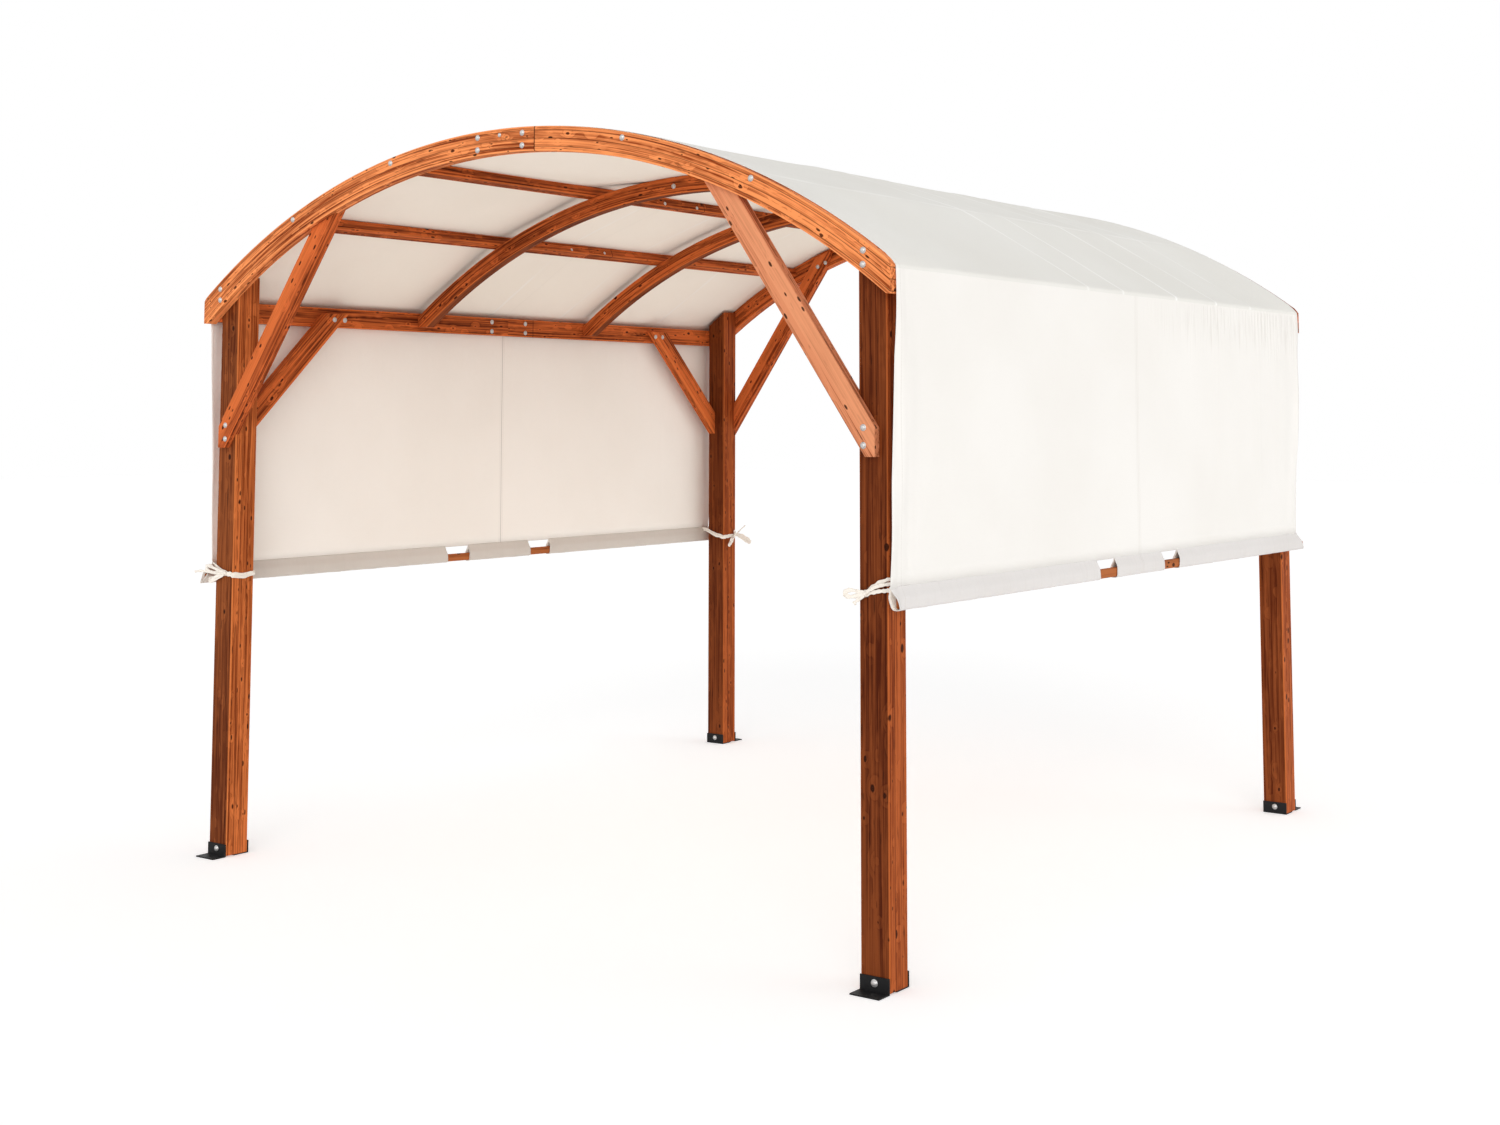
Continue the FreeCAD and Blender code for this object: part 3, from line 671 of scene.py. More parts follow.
# One group draws the weave, the seams and the stitched edges for every cloth piece
def buildClothGroup():
    group, gin, gout, do = newGroup(
        "canopyWeave",
        [("Cloth Place", "NodeSocketVector", None), ("Cloth", "NodeSocketColor", (0.8, 0.8, 0.75, 1)),
         ("Lit Drop Cloth", "NodeSocketColor", (0.8, 0.8, 0.75, 1)),
         ("Thread And Fold Shade", "NodeSocketColor", (0.5, 0.45, 0.4, 1)), ("Centre Seam", "NodeSocketFloat", 0.0),
         ("Edge", "NodeSocketFloat", 1.54), ("Seam Shade", "NodeSocketFloat", 0.5),
         ("Roof From", "NodeSocketFloat", 0.96), ("Roof To", "NodeSocketFloat", 4.20),
         ("Crease Light", "NodeSocketFloat", 0.5), ("Roof Seam", "NodeSocketFloat", 0.12)],
        [("Color", "NodeSocketColor"), ("Height", "NodeSocketFloat")],
    )
    u, v = do.separate(gin["Cloth Place"])[:2]

    def cloud(scale, detail, stretch=1.0):
        return do.noise(do.combine(do.times(u, scale), do.times(v, scale * stretch)), 1.0, detail)

    def line(distance, span, strength=1.0):
        return do.ramp(distance, *span, strength, 0.0)

    threads = weaveShape["threads"]
    weave = do.times(do.sine(do.times(u, threads)), do.sine(do.times(v, threads)))
    slubs = cloud(240.0, 3.0, 0.12)
    soft = cloud(1.3, 3.0)
    creases = cloud(9.0, 4.0, 1.6)
    fine = cloud(38.0, 3.0, 1.3)
    # the seam is pulled flat over the roof and only shows on the drops
    onRoof = do.times(do.above(u, gin["Roof From"]), do.below(u, gin["Roof To"]))
    held = do.timesPlus(onRoof, do.minus(gin["Roof Seam"], 1.0), 1.0)
    fromSeam = do.absolute(do.minus(v, gin["Centre Seam"]))
    seam = do.times(line(fromSeam, weaveShape["seamLine"]), held)
    felled = line(do.absolute(do.minus(fromSeam, weaveShape["felled"])), weaveShape["felledLine"])
    fromEdge = do.minus(gin["Edge"], do.absolute(v))
    stitched = line(do.absolute(do.minus(fromEdge, weaveShape["edgeStitch"])), weaveShape["edgeStitchLine"])
    dashes = do.above(do.sine(do.times(u, weaveShape["stitchWaves"])), -0.4)
    stitches = do.times(do.most(do.times(felled, held), stitched), dashes)
    # packing creases run across the roof, and the cloth bends over the purlins; both are drawn as pale
    # lines, a painted highlight, and as relief
    creaseLines = None
    waves, waveSize, softSize = weaveShape["creaseWander"]
    for i, at in enumerate(canopyLooks["roofCreases"]):
        wander = do.times(do.sine(do.timesPlus(u, waves, i * 1.7)), waveSize)
        wander = do.timesPlus(do.minus(soft, 0.5), softSize, wander)
        crease = line(do.absolute(do.minus(do.minus(v, at), wander)), weaveShape["creaseLine"])
        creaseLines = crease if creaseLines is None else do.most(creaseLines, crease)
    crown = do.times(do.plus(gin["Roof From"], gin["Roof To"]), 0.5)
    fromCrown = do.absolute(do.minus(u, crown))
    for at in canopyLooks["purlinBends"]:
        bend = line(do.absolute(do.minus(fromCrown, at)), weaveShape["bendLine"], 0.45)
        creaseLines = do.most(creaseLines, bend)
    creaseLines = do.times(creaseLines, do.ramp(cloud(3.4, 3.0), 0.36, 0.56, 0.25, 1.0))
    creaseLines = do.times(creaseLines, onRoof)
    # small gathers hang under the right eave towards the back, and the hems pucker
    below = do.minus(u, gin["Roof To"])
    gathers = do.times(do.ramp(below, 0.0, 0.012), line(below, weaveShape["gatherEnd"]))
    gathers = do.times(gathers, do.ramp(v, -0.2, 0.9))
    onHem = do.above(u, canopyLooks["hemMapFrom"] - 0.1)
    gathers = do.most(gathers, do.times(onHem, weaveShape["hemGather"]))
    pleats = cloud(5.0, 2.0, 12.0)
    pleatHeight = do.times(do.minus(pleats, 0.5), gathers)
    foldWaves, softWaves = weaveShape["edgeFolds"]
    folds = do.sine(do.timesPlus(fromEdge, foldWaves, do.times(soft, softWaves)))
    folds = do.times(folds, line(fromEdge, weaveShape["edgeFoldReach"], 0.55))
    folds = do.times(folds, do.minus(1.0, onRoof))
    # colour: the cloth, then what lies on it, each with how much of the thread colour it takes; the creases
    # get a painted highlight and the gather valleys painted shade
    shade = do.mix(do.ramp(soft, 0.34, 0.68), (1.0, 1.0, 1.0), canopyLooks["shadeColor"])
    # painted light: the drops take the lighter drop colour and the roof the darker one
    color = do.mix(1.0, do.mix(onRoof, gin["Lit Drop Cloth"], gin["Cloth"]), shade, "MULTIPLY")
    for mask in (do.ramp(slubs, 0.55, 0.80, 0.0, 0.05), do.times(seam, gin["Seam Shade"]),
                 do.times(stitches, 0.35)):
        color = do.mix(mask, color, gin["Thread And Fold Shade"])
    # painted highlight along the crease ridges and the purlin bends
    color = do.mix(do.times(creaseLines, gin["Crease Light"]), color, canopyLooks["creaseHighlightColor"])
    # painted shade in the valleys of the gathers and the hem puckers
    color = do.mix(do.ramp(pleatHeight, -0.16, 0.0, 0.22, 0.0), color, gin["Thread And Fold Shade"])
    group.links.new(color, gout["Color"])
    height = do.plus(creases, folds)
    seamWelt = do.times(line(fromSeam, (0.010, 0.012), 0.12), held)
    reliefs = ((creaseLines, 0.9), (pleatHeight, 4.0), (fine, 0.16), (weave, 0.020), (slubs, 0.03),
               (seam, -0.30), (seamWelt, 1.0), (stitches, -0.08))
    for relief, depth in reliefs:
        height = do.timesPlus(relief, depth, height)
    group.links.new(height, gout["Height"])
    return group


clothGroup = buildClothGroup()


def clothMaterial(name, color, litDropColor, seamShade, creaseLight, wrinkle=0.30):
    material, tree, shader = newMaterial(name)[:3]
    place = addNode(tree, "ShaderNodeUVMap", (-900, 0), uv_map="ClothMap")
    weave = addNode(tree, "ShaderNodeGroup", (-400, 0), node_tree=clothGroup)
    tree.links.new(place.outputs[0], weave.inputs["Cloth Place"])
    settings = {
        "Cloth": (*color, 1), "Lit Drop Cloth": (*litDropColor, 1), "Thread And Fold Shade": (*canopyLooks["threadAndFoldShade"], 1),
        "Centre Seam": canopyLooks["centreSeam"], "Roof Seam": canopyLooks["roofSeam"],
        "Seam Shade": seamShade, "Crease Light": creaseLight,
    }
    for socketName, value in settings.items():
        weave.inputs[socketName].default_value = value
    tree.links.new(weave.outputs["Color"], shader.inputs["Base Color"])
    shader.inputs["Roughness"].default_value = canopyLooks["roughness"]
    shader.inputs["Specular IOR Level"].default_value = 0.2
    shader.inputs["Sheen Weight"].default_value = 0.08
    shader.inputs["Sheen Roughness"].default_value = 0.5
    addBump(tree, shader, weave.outputs["Height"], wrinkle, 0.006)
    return material


# the inside material is a lighter, warmer copy of the outside cloth, painted light
clothOutside = clothMaterial("canopyClothOutside", canopyLooks["outside"], canopyLooks["litOutsideDrop"],
                             seamShade=0.25, creaseLight=0.80)
clothInside = clothMaterial("canopyClothInside", canopyLooks["inside"], canopyLooks["insideDrop"],
                            seamShade=0.75, creaseLight=0.30)
# hem cloth with the painted shade of the folded hem
shadedHemCloths = [clothMaterial("shadedHemCloth" + word, color, color, 0.25, 0.0)
             for word, color in zip(("Left", "Right"), canopyLooks["hems"])]

# Shape of the sheet: taut over purlins and rafters, settled on the arches, hanging at the sides
canopyShape = {
    "lift": 0.0012,  # the whole sheet off what it lies on
    "archGap": 0.0012,
    "cornerFrom": 1.484,  # where the sheet leaves the arch for the eave
    "cornerZ": 2.0225,
    "cornerSlope": 1.27,
    "rafterReach": 0.6,  # the rafters touch the cloth only near the crown
    "rafterGap": 0.0005,
    "rafterBulge": 0.003,
    "rafterFade": 0.10,
    "sagBetween": 0.004,
    "settle": 0.42,  # from the arch to where the cloth lies on the purlins
    "ripple": (2.3, 1.5, 0.005),  # waves in a metre across and along, height
    "frontSetBack": 0.028,
    "leftDrop": 1.032,
    "rightDrop": 0.958,
    "hemHeight": 0.062,
    "creaseHeight": 0.0022,
    "creaseHalf": 0.006,
    "dropCreases": ((-1.02, 0.0012), (-0.62, 0.001), (0.358, 0.0014), (0.71, 0.001), (1.115, 0.0014)),
    "frontLean": ((0.038, 0.75), (-0.041, 1.4)),  # left and right: reach and how it grows downwards
    "backLean": (0.015, 0.078),
    "hemFront": ((-1.512, -1.552), (-1.577, -1.543)),  # left and right: top and bottom
    "hemBack": (1.480, 1.531),
    "dropWave": 0.012,
    "dropWrinkle": 0.0035,
    "eaveTuck": 0.005,
    "edgeCurl": 0.0075,
    "edgeStep": 0.055,
    "edgeReach": 0.07,
    "gather": 0.0035,
    "gatherLength": 0.10,
    "gatherWaves": 205,
    "closeStep": 0.008,  # columns of the mesh near the ends
    "wideStep": 0.0155,
}
canopyFrontY = frameHalfY - canopyShape["frontSetBack"]
leftHemZ = frameSizes["beamTopZ"] + clothGap - canopyShape["leftDrop"]
rightHemZ = frameSizes["beamTopZ"] + clothGap - canopyShape["rightDrop"]


def purlinTop(middleX):
    turn = math.asin(middleX / (purlinRadius - purlinHalf[1]))
    points = []
    for side in (-1, 1):
        half = side * (purlinHalf[0] + clothGap)
        points.append((purlinRadius * math.sin(turn) + half * math.cos(turn),
                       archCentreZ + purlinRadius * math.cos(turn) - half * math.sin(turn)))
    return points


upperRest, lowerRest = (purlinTop(x) for x in frameSizes["purlinX"])
tautLine = [(0.0, upperRest[0][1]), *upperRest, *lowerRest, (eaveX, eaveZ)]


def roofHeight(x, y):
    reach = abs(x)
    arch = archCentreZ + math.sqrt((archRadius + canopyShape["archGap"]) ** 2 - x * x)
    if reach > canopyShape["cornerFrom"]:
        corner = canopyShape["cornerZ"] - (reach - canopyShape["cornerFrom"]) * canopyShape["cornerSlope"]
        arch = max(min(arch, corner), eaveZ)
    taut = float(np.interp(reach, [p[0] for p in tautLine], [p[1] for p in tautLine]))
    if reach < canopyShape["rafterReach"]:
        overRafter = archCentreZ + math.sqrt((rafterRadius + canopyShape["rafterGap"]) ** 2 - x * x)
        near = math.exp(-((abs(y) - frameSizes["rafterY"]) / canopyShape["rafterFade"]) ** 2)
        if overRafter < taut:
            taut += canopyShape["rafterBulge"] * near
        else:
            taut = max(taut, overRafter - canopyShape["sagBetween"] * (1 - near))
    away = min(max((postOuterY - abs(y)) / canopyShape["settle"], 0.0), 1.0)
    away = away * away * (3 - 2 * away)
    height = arch + (taut - arch) * away
    wavesX, wavesY, rippleHeight = canopyShape["ripple"]
    ripple = max(softNoise(x * wavesX, y * wavesY, 4.7) * rippleHeight, -0.0006) * away
    for at in canopyLooks["roofCreases"]:
        wander = at + softNoise(x * 1.7, at * 5, 2.0) * 0.012
        fade = math.exp(-abs(y - wander) / canopyShape["creaseHalf"])
        ripple += canopyShape["creaseHeight"] * fade * away
    return height + canopyShape["lift"] + ripple


def gatherWave(y, below, side):
    # small upright folds under the eave towards the back of the right side
    if side < 0:
        share = max(0.0, (abs(y) - 0.9) / 0.6) * 0.5
    else:
        share = min(max((y + 0.1) / 1.2, 0.0), 1.0)
    length = canopyShape["gatherLength"] + 0.12 * share + 0.05 * softNoise(y * 9, 3.0, side)
    fade = max(0.0, 1 - below / max(length, 0.03)) ** 1.3 * min(below / 0.012, 1.0)
    wave = math.sin(y * canopyShape["gatherWaves"] + 4 * softNoise(y * 5, 0.4, side))
    height = canopyShape["gather"] * (0.6 + 0.8 * softNoise(y * 21, 1.0, side))
    return height * share * fade * wave


def dropPoint(side, y, part, edgeZ, hemTop):
    # part is 0 at the hem's seam and 1 at the eave
    z = hemTop + (edgeZ - canopyShape["eaveTuck"] - hemTop) * part
    hang = math.sin(math.pi * part) ** 0.7
    out = softNoise(y * 1.4, z * 0.8, 11.0 + side) * canopyShape["dropWave"] * hang
    wrinkle = canopyShape["dropWrinkle"] * min(1.0, 3 * part) * min(1.0, 6 * (1 - part))
    out += softNoise(y * 5.5, z * 0.7, 31.0 + side) * wrinkle
    out += gatherWave(y, edgeZ - z, side)
    # the free edges curl and fold
    for end in (-1, 1):
        inward = canopyFrontY - end * y
        turn = inward / canopyShape["edgeStep"] + softNoise(z * 2.2, end, side) * 1.3
        curl = canopyShape["edgeCurl"] * math.exp(-inward / canopyShape["edgeReach"])
        out += curl * math.sin(turn * 2.2) * min(1.0, 5 * (1 - part)) * (0.35 + 0.65 * hang)
    # upright creases left from packing
    for at, height in canopyShape["dropCreases"]:
        fade = math.exp(-abs(y - at - 0.004 * math.sin(z * 7)) / 0.005)
        out += height * fade * min(1.0, 4 * part + 0.2)
    near = (abs(y) / canopyFrontY) ** 6
    if y < 0:
        reach, power = canopyShape["frontLean"][0 if side < 0 else 1]
        lean = reach * (1 - part) ** power * near
    else:
        spread, pull = canopyShape["backLean"]
        lean = (spread * min(1.0, 12 * (1 - part)) - pull * (1 - part) ** 0.95) * near
    return (side * (eaveX + 0.0012 + max(out, -0.0010)), y + lean, z)


def columnPlaces():
    places = [-canopyFrontY]
    while places[-1] < canopyFrontY - 1e-6:
        y = places[-1]
        close = y > 0.35 or y < -canopyFrontY + 0.13
        step = canopyShape["closeStep"] if close else canopyShape["wideStep"]
        places.append(min(y + step, canopyFrontY))
    return places


def buildCanopyRows():
    # a few close rows keep the fold at the eave crisp
    roofParts = sorted([-1 + 2 * i / 92 for i in range(93)] + [-0.9985, -0.994, 0.994, 0.9985])
    leftParts = [i / 24 for i in range(24)] + [0.985, 0.997]
    rightParts = [1 - (i / 9) * 0.24 for i in range(9)] + [0.76 * (1 - i / 16) for i in range(17)]
    rightParts[1:1] = [0.997, 0.985]
    rows = []
    for y in columnPlaces():
        edgeZ = roofHeight(eaveX, y)
        line = [dropPoint(-1, y, part, edgeZ, leftHemZ + canopyShape["hemHeight"]) for part in leftParts]
        for part in roofParts:
            x = part * (eaveX - 0.0015)
            line.append((x, y, roofHeight(x, y)))
        line += [dropPoint(1, y, part, edgeZ, rightHemZ + canopyShape["hemHeight"]) for part in rightParts]
        rows.append(line)
    return rows


def sheetMesh(name, rows):
    mesh = bpy.data.meshes.new(name)
    wide = len(rows[0])
    points = [p for line in rows for p in line]
    faces = []
    for j in range(len(rows) - 1):
        for i in range(wide - 1):
            a = j * wide + i
            faces.append((a, a + 1, a + wide + 1, a + wide))
    mesh.from_pydata(points, [], faces)
    middle = rows[len(rows) // 2]
    steps = [0.0]
    for i in range(1, wide):
        steps.append(steps[-1] + math.dist(middle[i - 1], middle[i]))
    layer = mesh.uv_layers.new(name="ClothMap")
    for loop in mesh.loops:
        index = loop.vertex_index
        layer.data[loop.index].uv = (steps[index % wide], points[index][1])
    for polygon in mesh.polygons:
        polygon.use_smooth = True
    mesh.update()
    return mesh, steps[-1]


def addClothWall(obj):
    wall = obj.modifiers.new("cloth", "SOLIDIFY")
    wall.thickness = canopyLooks["thickness"]
    wall.offset = 0.0
    wall.material_offset = 1


canopyMesh, canopyWide = sheetMesh("canopySheet", buildCanopyRows())
canopySheet = addObject("canopySheet", canopyMesh)
canopySheet.data.materials.append(clothOutside)
canopySheet.data.materials.append(clothInside)
addClothWall(canopySheet)
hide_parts("canopy_roof", "drop_left", "drop_right")
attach(canopySheet, "root")
print("canopy sheet", round(canopyWide, 3), len(canopyMesh.polygons))

# Hem sleeves: the cloth folded round a timber rail, open at two hand holds and at both ends
hemShape = {
    "railHalf": 0.0118,
    "handHolds": (-0.25, 0.25),
    "holdTop": 0.0670,
    "holdBottom": 0.0620,
    "pinchFrom": -1.529,
    "pinchLength": 0.024,
    "pucker": 0.0030,
    "binding": 0.006,
    "bindingThick": 0.0009,
    "step": 0.011,
}


def hemProfile():
    half = hemShape["railHalf"]
    height = canopyShape["hemHeight"]
    right = [(0.0004, height + 0.004), (0.0022, height - 0.004), (0.0060, 0.048), (0.0095, 0.041),
             (half, 0.0345), (half + clothGap, 0.022), (half, 0.0085), (half - 0.0020, 0.0035),
             (half - 0.0060, 0.0004), (0.0, -0.0002)]
    loop = right + [(-x, z) for x, z in reversed(right[:-1])]
    dense = []
    for (x0, z0), (x1, z1) in zip(loop, loop[1:]):
        for t in (0, 1 / 3, 2 / 3):
            dense.append((x0 * (1 - t) + x1 * t, z0 * (1 - t) + z1 * t))
    return dense + [loop[-1]]


def buildHem(side, bottom):
    profile = hemProfile()
    walk = [0.0]
    for i in range(1, len(profile)):
        walk.append(walk[-1] + math.dist(profile[i - 1], profile[i]))
    height = canopyShape["hemHeight"]
    spans = []
    start = canopyShape["hemFront"][0 if side < 0 else 1]
    for at in hemShape["handHolds"]:
        spans.append((start, (at - hemShape["holdTop"], at - hemShape["holdBottom"])))
        start = (at + hemShape["holdTop"], at + hemShape["holdBottom"])
    spans.append((start, canopyShape["hemBack"]))
    bm = bmesh.new()
    layer = bm.loops.layers.uv.new("ClothMap")
    for first, last in spans:
        count = max(8, int((last[0] - first[0]) / hemShape["step"]))
        places = [j / count for j in range(count + 1)]
        bind = hemShape["binding"] / (last[0] - first[0])
        places = sorted(set(places + [bind, 1 - bind, bind * 1.08, 1 - bind * 1.08]))
        grid = []
        for place in places:
            line = []
            for i, (x, z) in enumerate(profile):
                part = min(max(z / height, 0.0), 1.0)
                low = first[1] + (first[0] - first[1]) * part
                high = last[1] + (last[0] - last[1]) * part
                y = low + (high - low) * place
                outward = max(0.0, softNoise(y * 16, z * 22, side * 4.0 + (3 if x > 0 else 0)) + 0.25)
                pucker = max(0.0, softNoise(y * 62, z * 9, side * 9.0)) * (0.35 + part)
                grow = hemShape["pucker"] * (outward * 0.9 + pucker * 0.8)
                if place <= bind or place >= 1 - bind:
                    grow += hemShape["bindingThick"]
                seamHold = 1 - part ** 3
                across = x + math.copysign(grow * seamHold, x) if abs(x) > 1e-6 else 0.0
                if side < 0 and y < hemShape["pinchFrom"]:
                    across *= max(0.25, 1 - (hemShape["pinchFrom"] - y) / hemShape["pinchLength"])
                sag = -0.35 * grow * (1 - part) if z < 0.01 else 0.0
                line.append(bm.verts.new((side * (eaveX + 0.0006 + across), y, bottom + z + sag)))
            grid.append(line)
        for j in range(len(places) - 1):
            for i in range(len(profile) - 1):
                corners = [(j, i), (j, i + 1), (j + 1, i + 1), (j + 1, i)]
                face = bm.faces.new([grid[a][b] for a, b in corners])
                face.smooth = True
                for loop, (a, b) in zip(face.loops, corners):
                    loop[layer].uv = (canopyLooks["hemMapFrom"] + walk[b], grid[a][b].co.y)
    bmesh.ops.recalc_face_normals(bm, faces=bm.faces)
    mesh = bpy.data.meshes.new("hemSleeve")
    bm.to_mesh(mesh)
    bm.free()
    return mesh


for side, bottom, word in ((1, rightHemZ, "Right"), (-1, leftHemZ, "Left")):
    hem = addObject("hemSleeve" + word, buildHem(side, bottom))
    hem.data.materials.append(shadedHemCloths[0 if side < 0 else 1])
    hem.data.materials.append(clothInside)
    addClothWall(hem)
    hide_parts("hem_sleeve_" + word.lower())
    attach(hem, "root")
print("hem sleeves")


# Bolts: domed heads on washers, placed by a point list
boltLooks = {
    "steel": (0.78, 0.77, 0.75),
    "wearAndHighlight": (0.52, 0.51, 0.50),
    "metal": 0.6,
    "roughness": 0.34,
    "headRadius": 0.0074,
    "headFlat": 0.55,
    "washerRadius": 0.0098,
    "washerDepth": 0.0022,
}
# Places in metres: across or along, and height
boltPlaces = {
    "archFace": ((1.411, 2.044), (1.410, 2.004), (1.017, 2.277), (0.519, 2.441)),
    "crownAcross": (-0.105, 0.095),
    "crownHeights": (2.493, 2.452),
    "crownSmall": (-0.006, 2.494),
    "braceFoot": (1.394, (1.546, 1.496)),
    "braceTop": ((0.859, 2.298), (0.814, 2.315)),
    "sideBraceTop": ((1.012, 0.960), 1.955),
    "beamLap": ((-0.100, 0.108), (1.984, 1.944)),
    "purlinLap": ((-0.107, 0.101), 2.450),
    "rafterCrown": (0.109, 2.435),
    "bracketHeight": 0.026,
}


def boltTree():
    tree = bpy.data.node_groups.new("boltHeads", "GeometryNodeTree")
    for socketName, kind, default in (
            ("Geometry", "NodeSocketGeometry", None),
            ("Head Radius", "NodeSocketFloat", boltLooks["headRadius"]),
            ("Washer Radius", "NodeSocketFloat", boltLooks["washerRadius"]),
            ("Material", "NodeSocketMaterial", None)):
        socket = tree.interface.new_socket(name=socketName, in_out="INPUT", socket_type=kind)
        if default is not None:
            socket.default_value = default
    tree.interface.new_socket(name="Geometry", in_out="OUTPUT", socket_type="NodeSocketGeometry")
    gin = addNode(tree, "NodeGroupInput", (-900, 0))
    gout = addNode(tree, "NodeGroupOutput", (900, 0))
    links = tree.links
    dome = addNode(tree, "GeometryNodeMeshUVSphere", (-600, 200))
    dome.inputs["Segments"].default_value = 20
    dome.inputs["Rings"].default_value = 12
    links.new(gin.outputs["Head Radius"], dome.inputs["Radius"])
    flat = addNode(tree, "GeometryNodeTransform", (-400, 200))
    flat.inputs["Scale"].default_value = (1, 1, boltLooks["headFlat"])
    flat.inputs["Translation"].default_value = (0, 0, boltLooks["washerDepth"] / 2 + 0.0001)
    links.new(dome.outputs["Mesh"], flat.inputs["Geometry"])
    washer = addNode(tree, "GeometryNodeMeshCylinder", (-600, -100))
    washer.inputs["Vertices"].default_value = 24
    washer.inputs["Depth"].default_value = boltLooks["washerDepth"]
    links.new(gin.outputs["Washer Radius"], washer.inputs["Radius"])
    join = addNode(tree, "GeometryNodeJoinGeometry", (-200, 100))
    links.new(flat.outputs[0], join.inputs[0])
    links.new(washer.outputs["Mesh"], join.inputs[0])
    axis = addNode(tree, "GeometryNodeInputNamedAttribute", (-600, -400), data_type="FLOAT_VECTOR")
    axis.inputs["Name"].default_value = "boltAxis"
    size = addNode(tree, "GeometryNodeInputNamedAttribute", (-600, -600), data_type="FLOAT")
    size.inputs["Name"].default_value = "boltSize"
    align = addNode(tree, "FunctionNodeAlignRotationToVector", (-300, -400), axis="Z")
    links.new(axis.outputs["Attribute"], align.inputs["Vector"])
    place = addNode(tree, "GeometryNodeInstanceOnPoints", (100, 0))
    links.new(gin.outputs["Geometry"], place.inputs["Points"])
    links.new(join.outputs[0], place.inputs["Instance"])
    links.new(align.outputs[0], place.inputs["Rotation"])
    links.new(size.outputs["Attribute"], place.inputs["Scale"])
    real = addNode(tree, "GeometryNodeRealizeInstances", (350, 0))
    links.new(place.outputs[0], real.inputs[0])
    shade = addNode(tree, "GeometryNodeSetShadeSmooth", (500, 0))
    links.new(real.outputs[0], shade.inputs["Geometry"])
    paint = addNode(tree, "GeometryNodeSetMaterial", (650, 0))
    links.new(shade.outputs[0], paint.inputs["Geometry"])
    links.new(gin.outputs["Material"], paint.inputs["Material"])
    links.new(paint.outputs[0], gout.inputs[0])
    return tree


def boltMaterial():
    material, tree, shader, do = newMaterial("boltSteel")
    cloud = do.noise(objectPlace(tree), 220.0)
    tree.links.new(do.mix(cloud, boltLooks["steel"], boltLooks["wearAndHighlight"]), shader.inputs["Base Color"])
    tree.links.new(do.timesPlus(cloud, 0.25, boltLooks["roughness"] - 0.1), shader.inputs["Roughness"])
    shader.inputs["Metallic"].default_value = boltLooks["metal"]
    return material


bolts = []
rafterFaceY = frameSizes["rafterY"] + rafterHalf[1]
postInnerY = frameSizes["postY"] - postHalf


def bolt(x, y, z, axis, size=1.0, mirrorX=True, mirrorY=True):
    for sx in ((1, -1) if mirrorX else (1,)):
        for sy in ((1, -1) if mirrorY else (1,)):
            bolts.append(((x * sx, y * sy, z), (axis[0] * sx, axis[1] * sy, axis[2]), size))


for x, z in boltPlaces["archFace"]:
    bolt(x, -frameHalfY, z, (0, -1, 0))
for z in boltPlaces["crownHeights"]:
    for x in boltPlaces["crownAcross"]:
        bolt(x, -frameHalfY, z, (0, -1, 0), mirrorX=False)
x, z = boltPlaces["crownSmall"]
bolt(x, -frameHalfY, z, (0, -1, 0), size=0.7, mirrorX=False)
# an arch brace is bolted from the front at its foot and from behind at its top
braceThickness = 2 * braceHalf[1]
x, heights = boltPlaces["braceFoot"]
for z in heights:
    bolt(x, -braceFrontY, z, (0, -1, 0))
for x, z in boltPlaces["braceTop"]:
    bolt(x, -(braceFrontY - braceThickness), z, (0, 1, 0))
alongBeam, z = boltPlaces["sideBraceTop"]
for y in alongBeam:
    bolt(postOuterX - braceThickness, y, z, (-1, 0, 0))
alongBeam, heights = boltPlaces["beamLap"]
for y in alongBeam:
    for z in heights:
        bolt(postOuterX, y, z, (-1, 0, 0), mirrorY=False)
# purlin laps are bolted from the side that faces the crown
alongPurlin, radius = boltPlaces["purlinLap"]
for y in alongPurlin:
    for middle in frameSizes["purlinX"]:
        turn = math.asin(middle / radius)
        bolt(radius * math.sin(turn) - purlinHalf[0] * math.cos(turn), y,
             archCentreZ + radius * math.cos(turn) + purlinHalf[0] * math.sin(turn),
             (-math.cos(turn), 0, math.sin(turn)), mirrorY=False)
x, z = boltPlaces["rafterCrown"]
for sideY in (-1, 1):
    for sideX in (-1, 1):
        bolt(sideX * x, sideY * rafterFaceY, z, (0, sideY, 0), mirrorX=False, mirrorY=False)
# one bolt on each flange side of a post bracket
plate = frameSizes["bracketPlate"]
bolt(frameSizes["postX"], -(postOuterY + plate), boltPlaces["bracketHeight"], (0, -1, 0), size=1.1)
bolt(frameSizes["postX"], -(postInnerY - plate), boltPlaces["bracketHeight"], (0, 1, 0), size=1.1)

pointMesh = bpy.data.meshes.new("boltPoints")
pointMesh.from_pydata([b[0] for b in bolts], [], [])
axisData = pointMesh.attributes.new("boltAxis", "FLOAT_VECTOR", "POINT")
axisData.data.foreach_set("vector", [c for b in bolts for c in b[1]])
sizeData = pointMesh.attributes.new("boltSize", "FLOAT", "POINT")
sizeData.data.foreach_set("value", [b[2] for b in bolts])
boltObject = addObject("frameBolts", pointMesh)
boltGroup = boltTree()
modifier = boltObject.modifiers.new("boltHeads", "NODES")
modifier.node_group = boltGroup
steel = boltMaterial()
for item in boltGroup.interface.items_tree:
    if item.in_out == "INPUT" and item.name == "Material":
        modifier[item.identifier] = steel
applyModifiers(boltObject)
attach(boltObject, "root")
print("bolts placed", len(bolts))


# Cotton ties: tape wound round each post, knotted, with loose loops and tails
tieLooks = {
    "tape": (0.90, 0.84, 0.76),
    "shade": (0.60, 0.50, 0.40),
    "roughness": 0.9,
    "width": 0.0115,
    "knotWidth": 0.0088,
    "knotRadius": (0.0058, 0.0050),
    "thick": 0.0030,
    "crumple": 0.55,
    "twist": (0.35, 1.1),
    "sides": 10,
    "rightLift": canopyShape["leftDrop"] - canopyShape["rightDrop"],
}
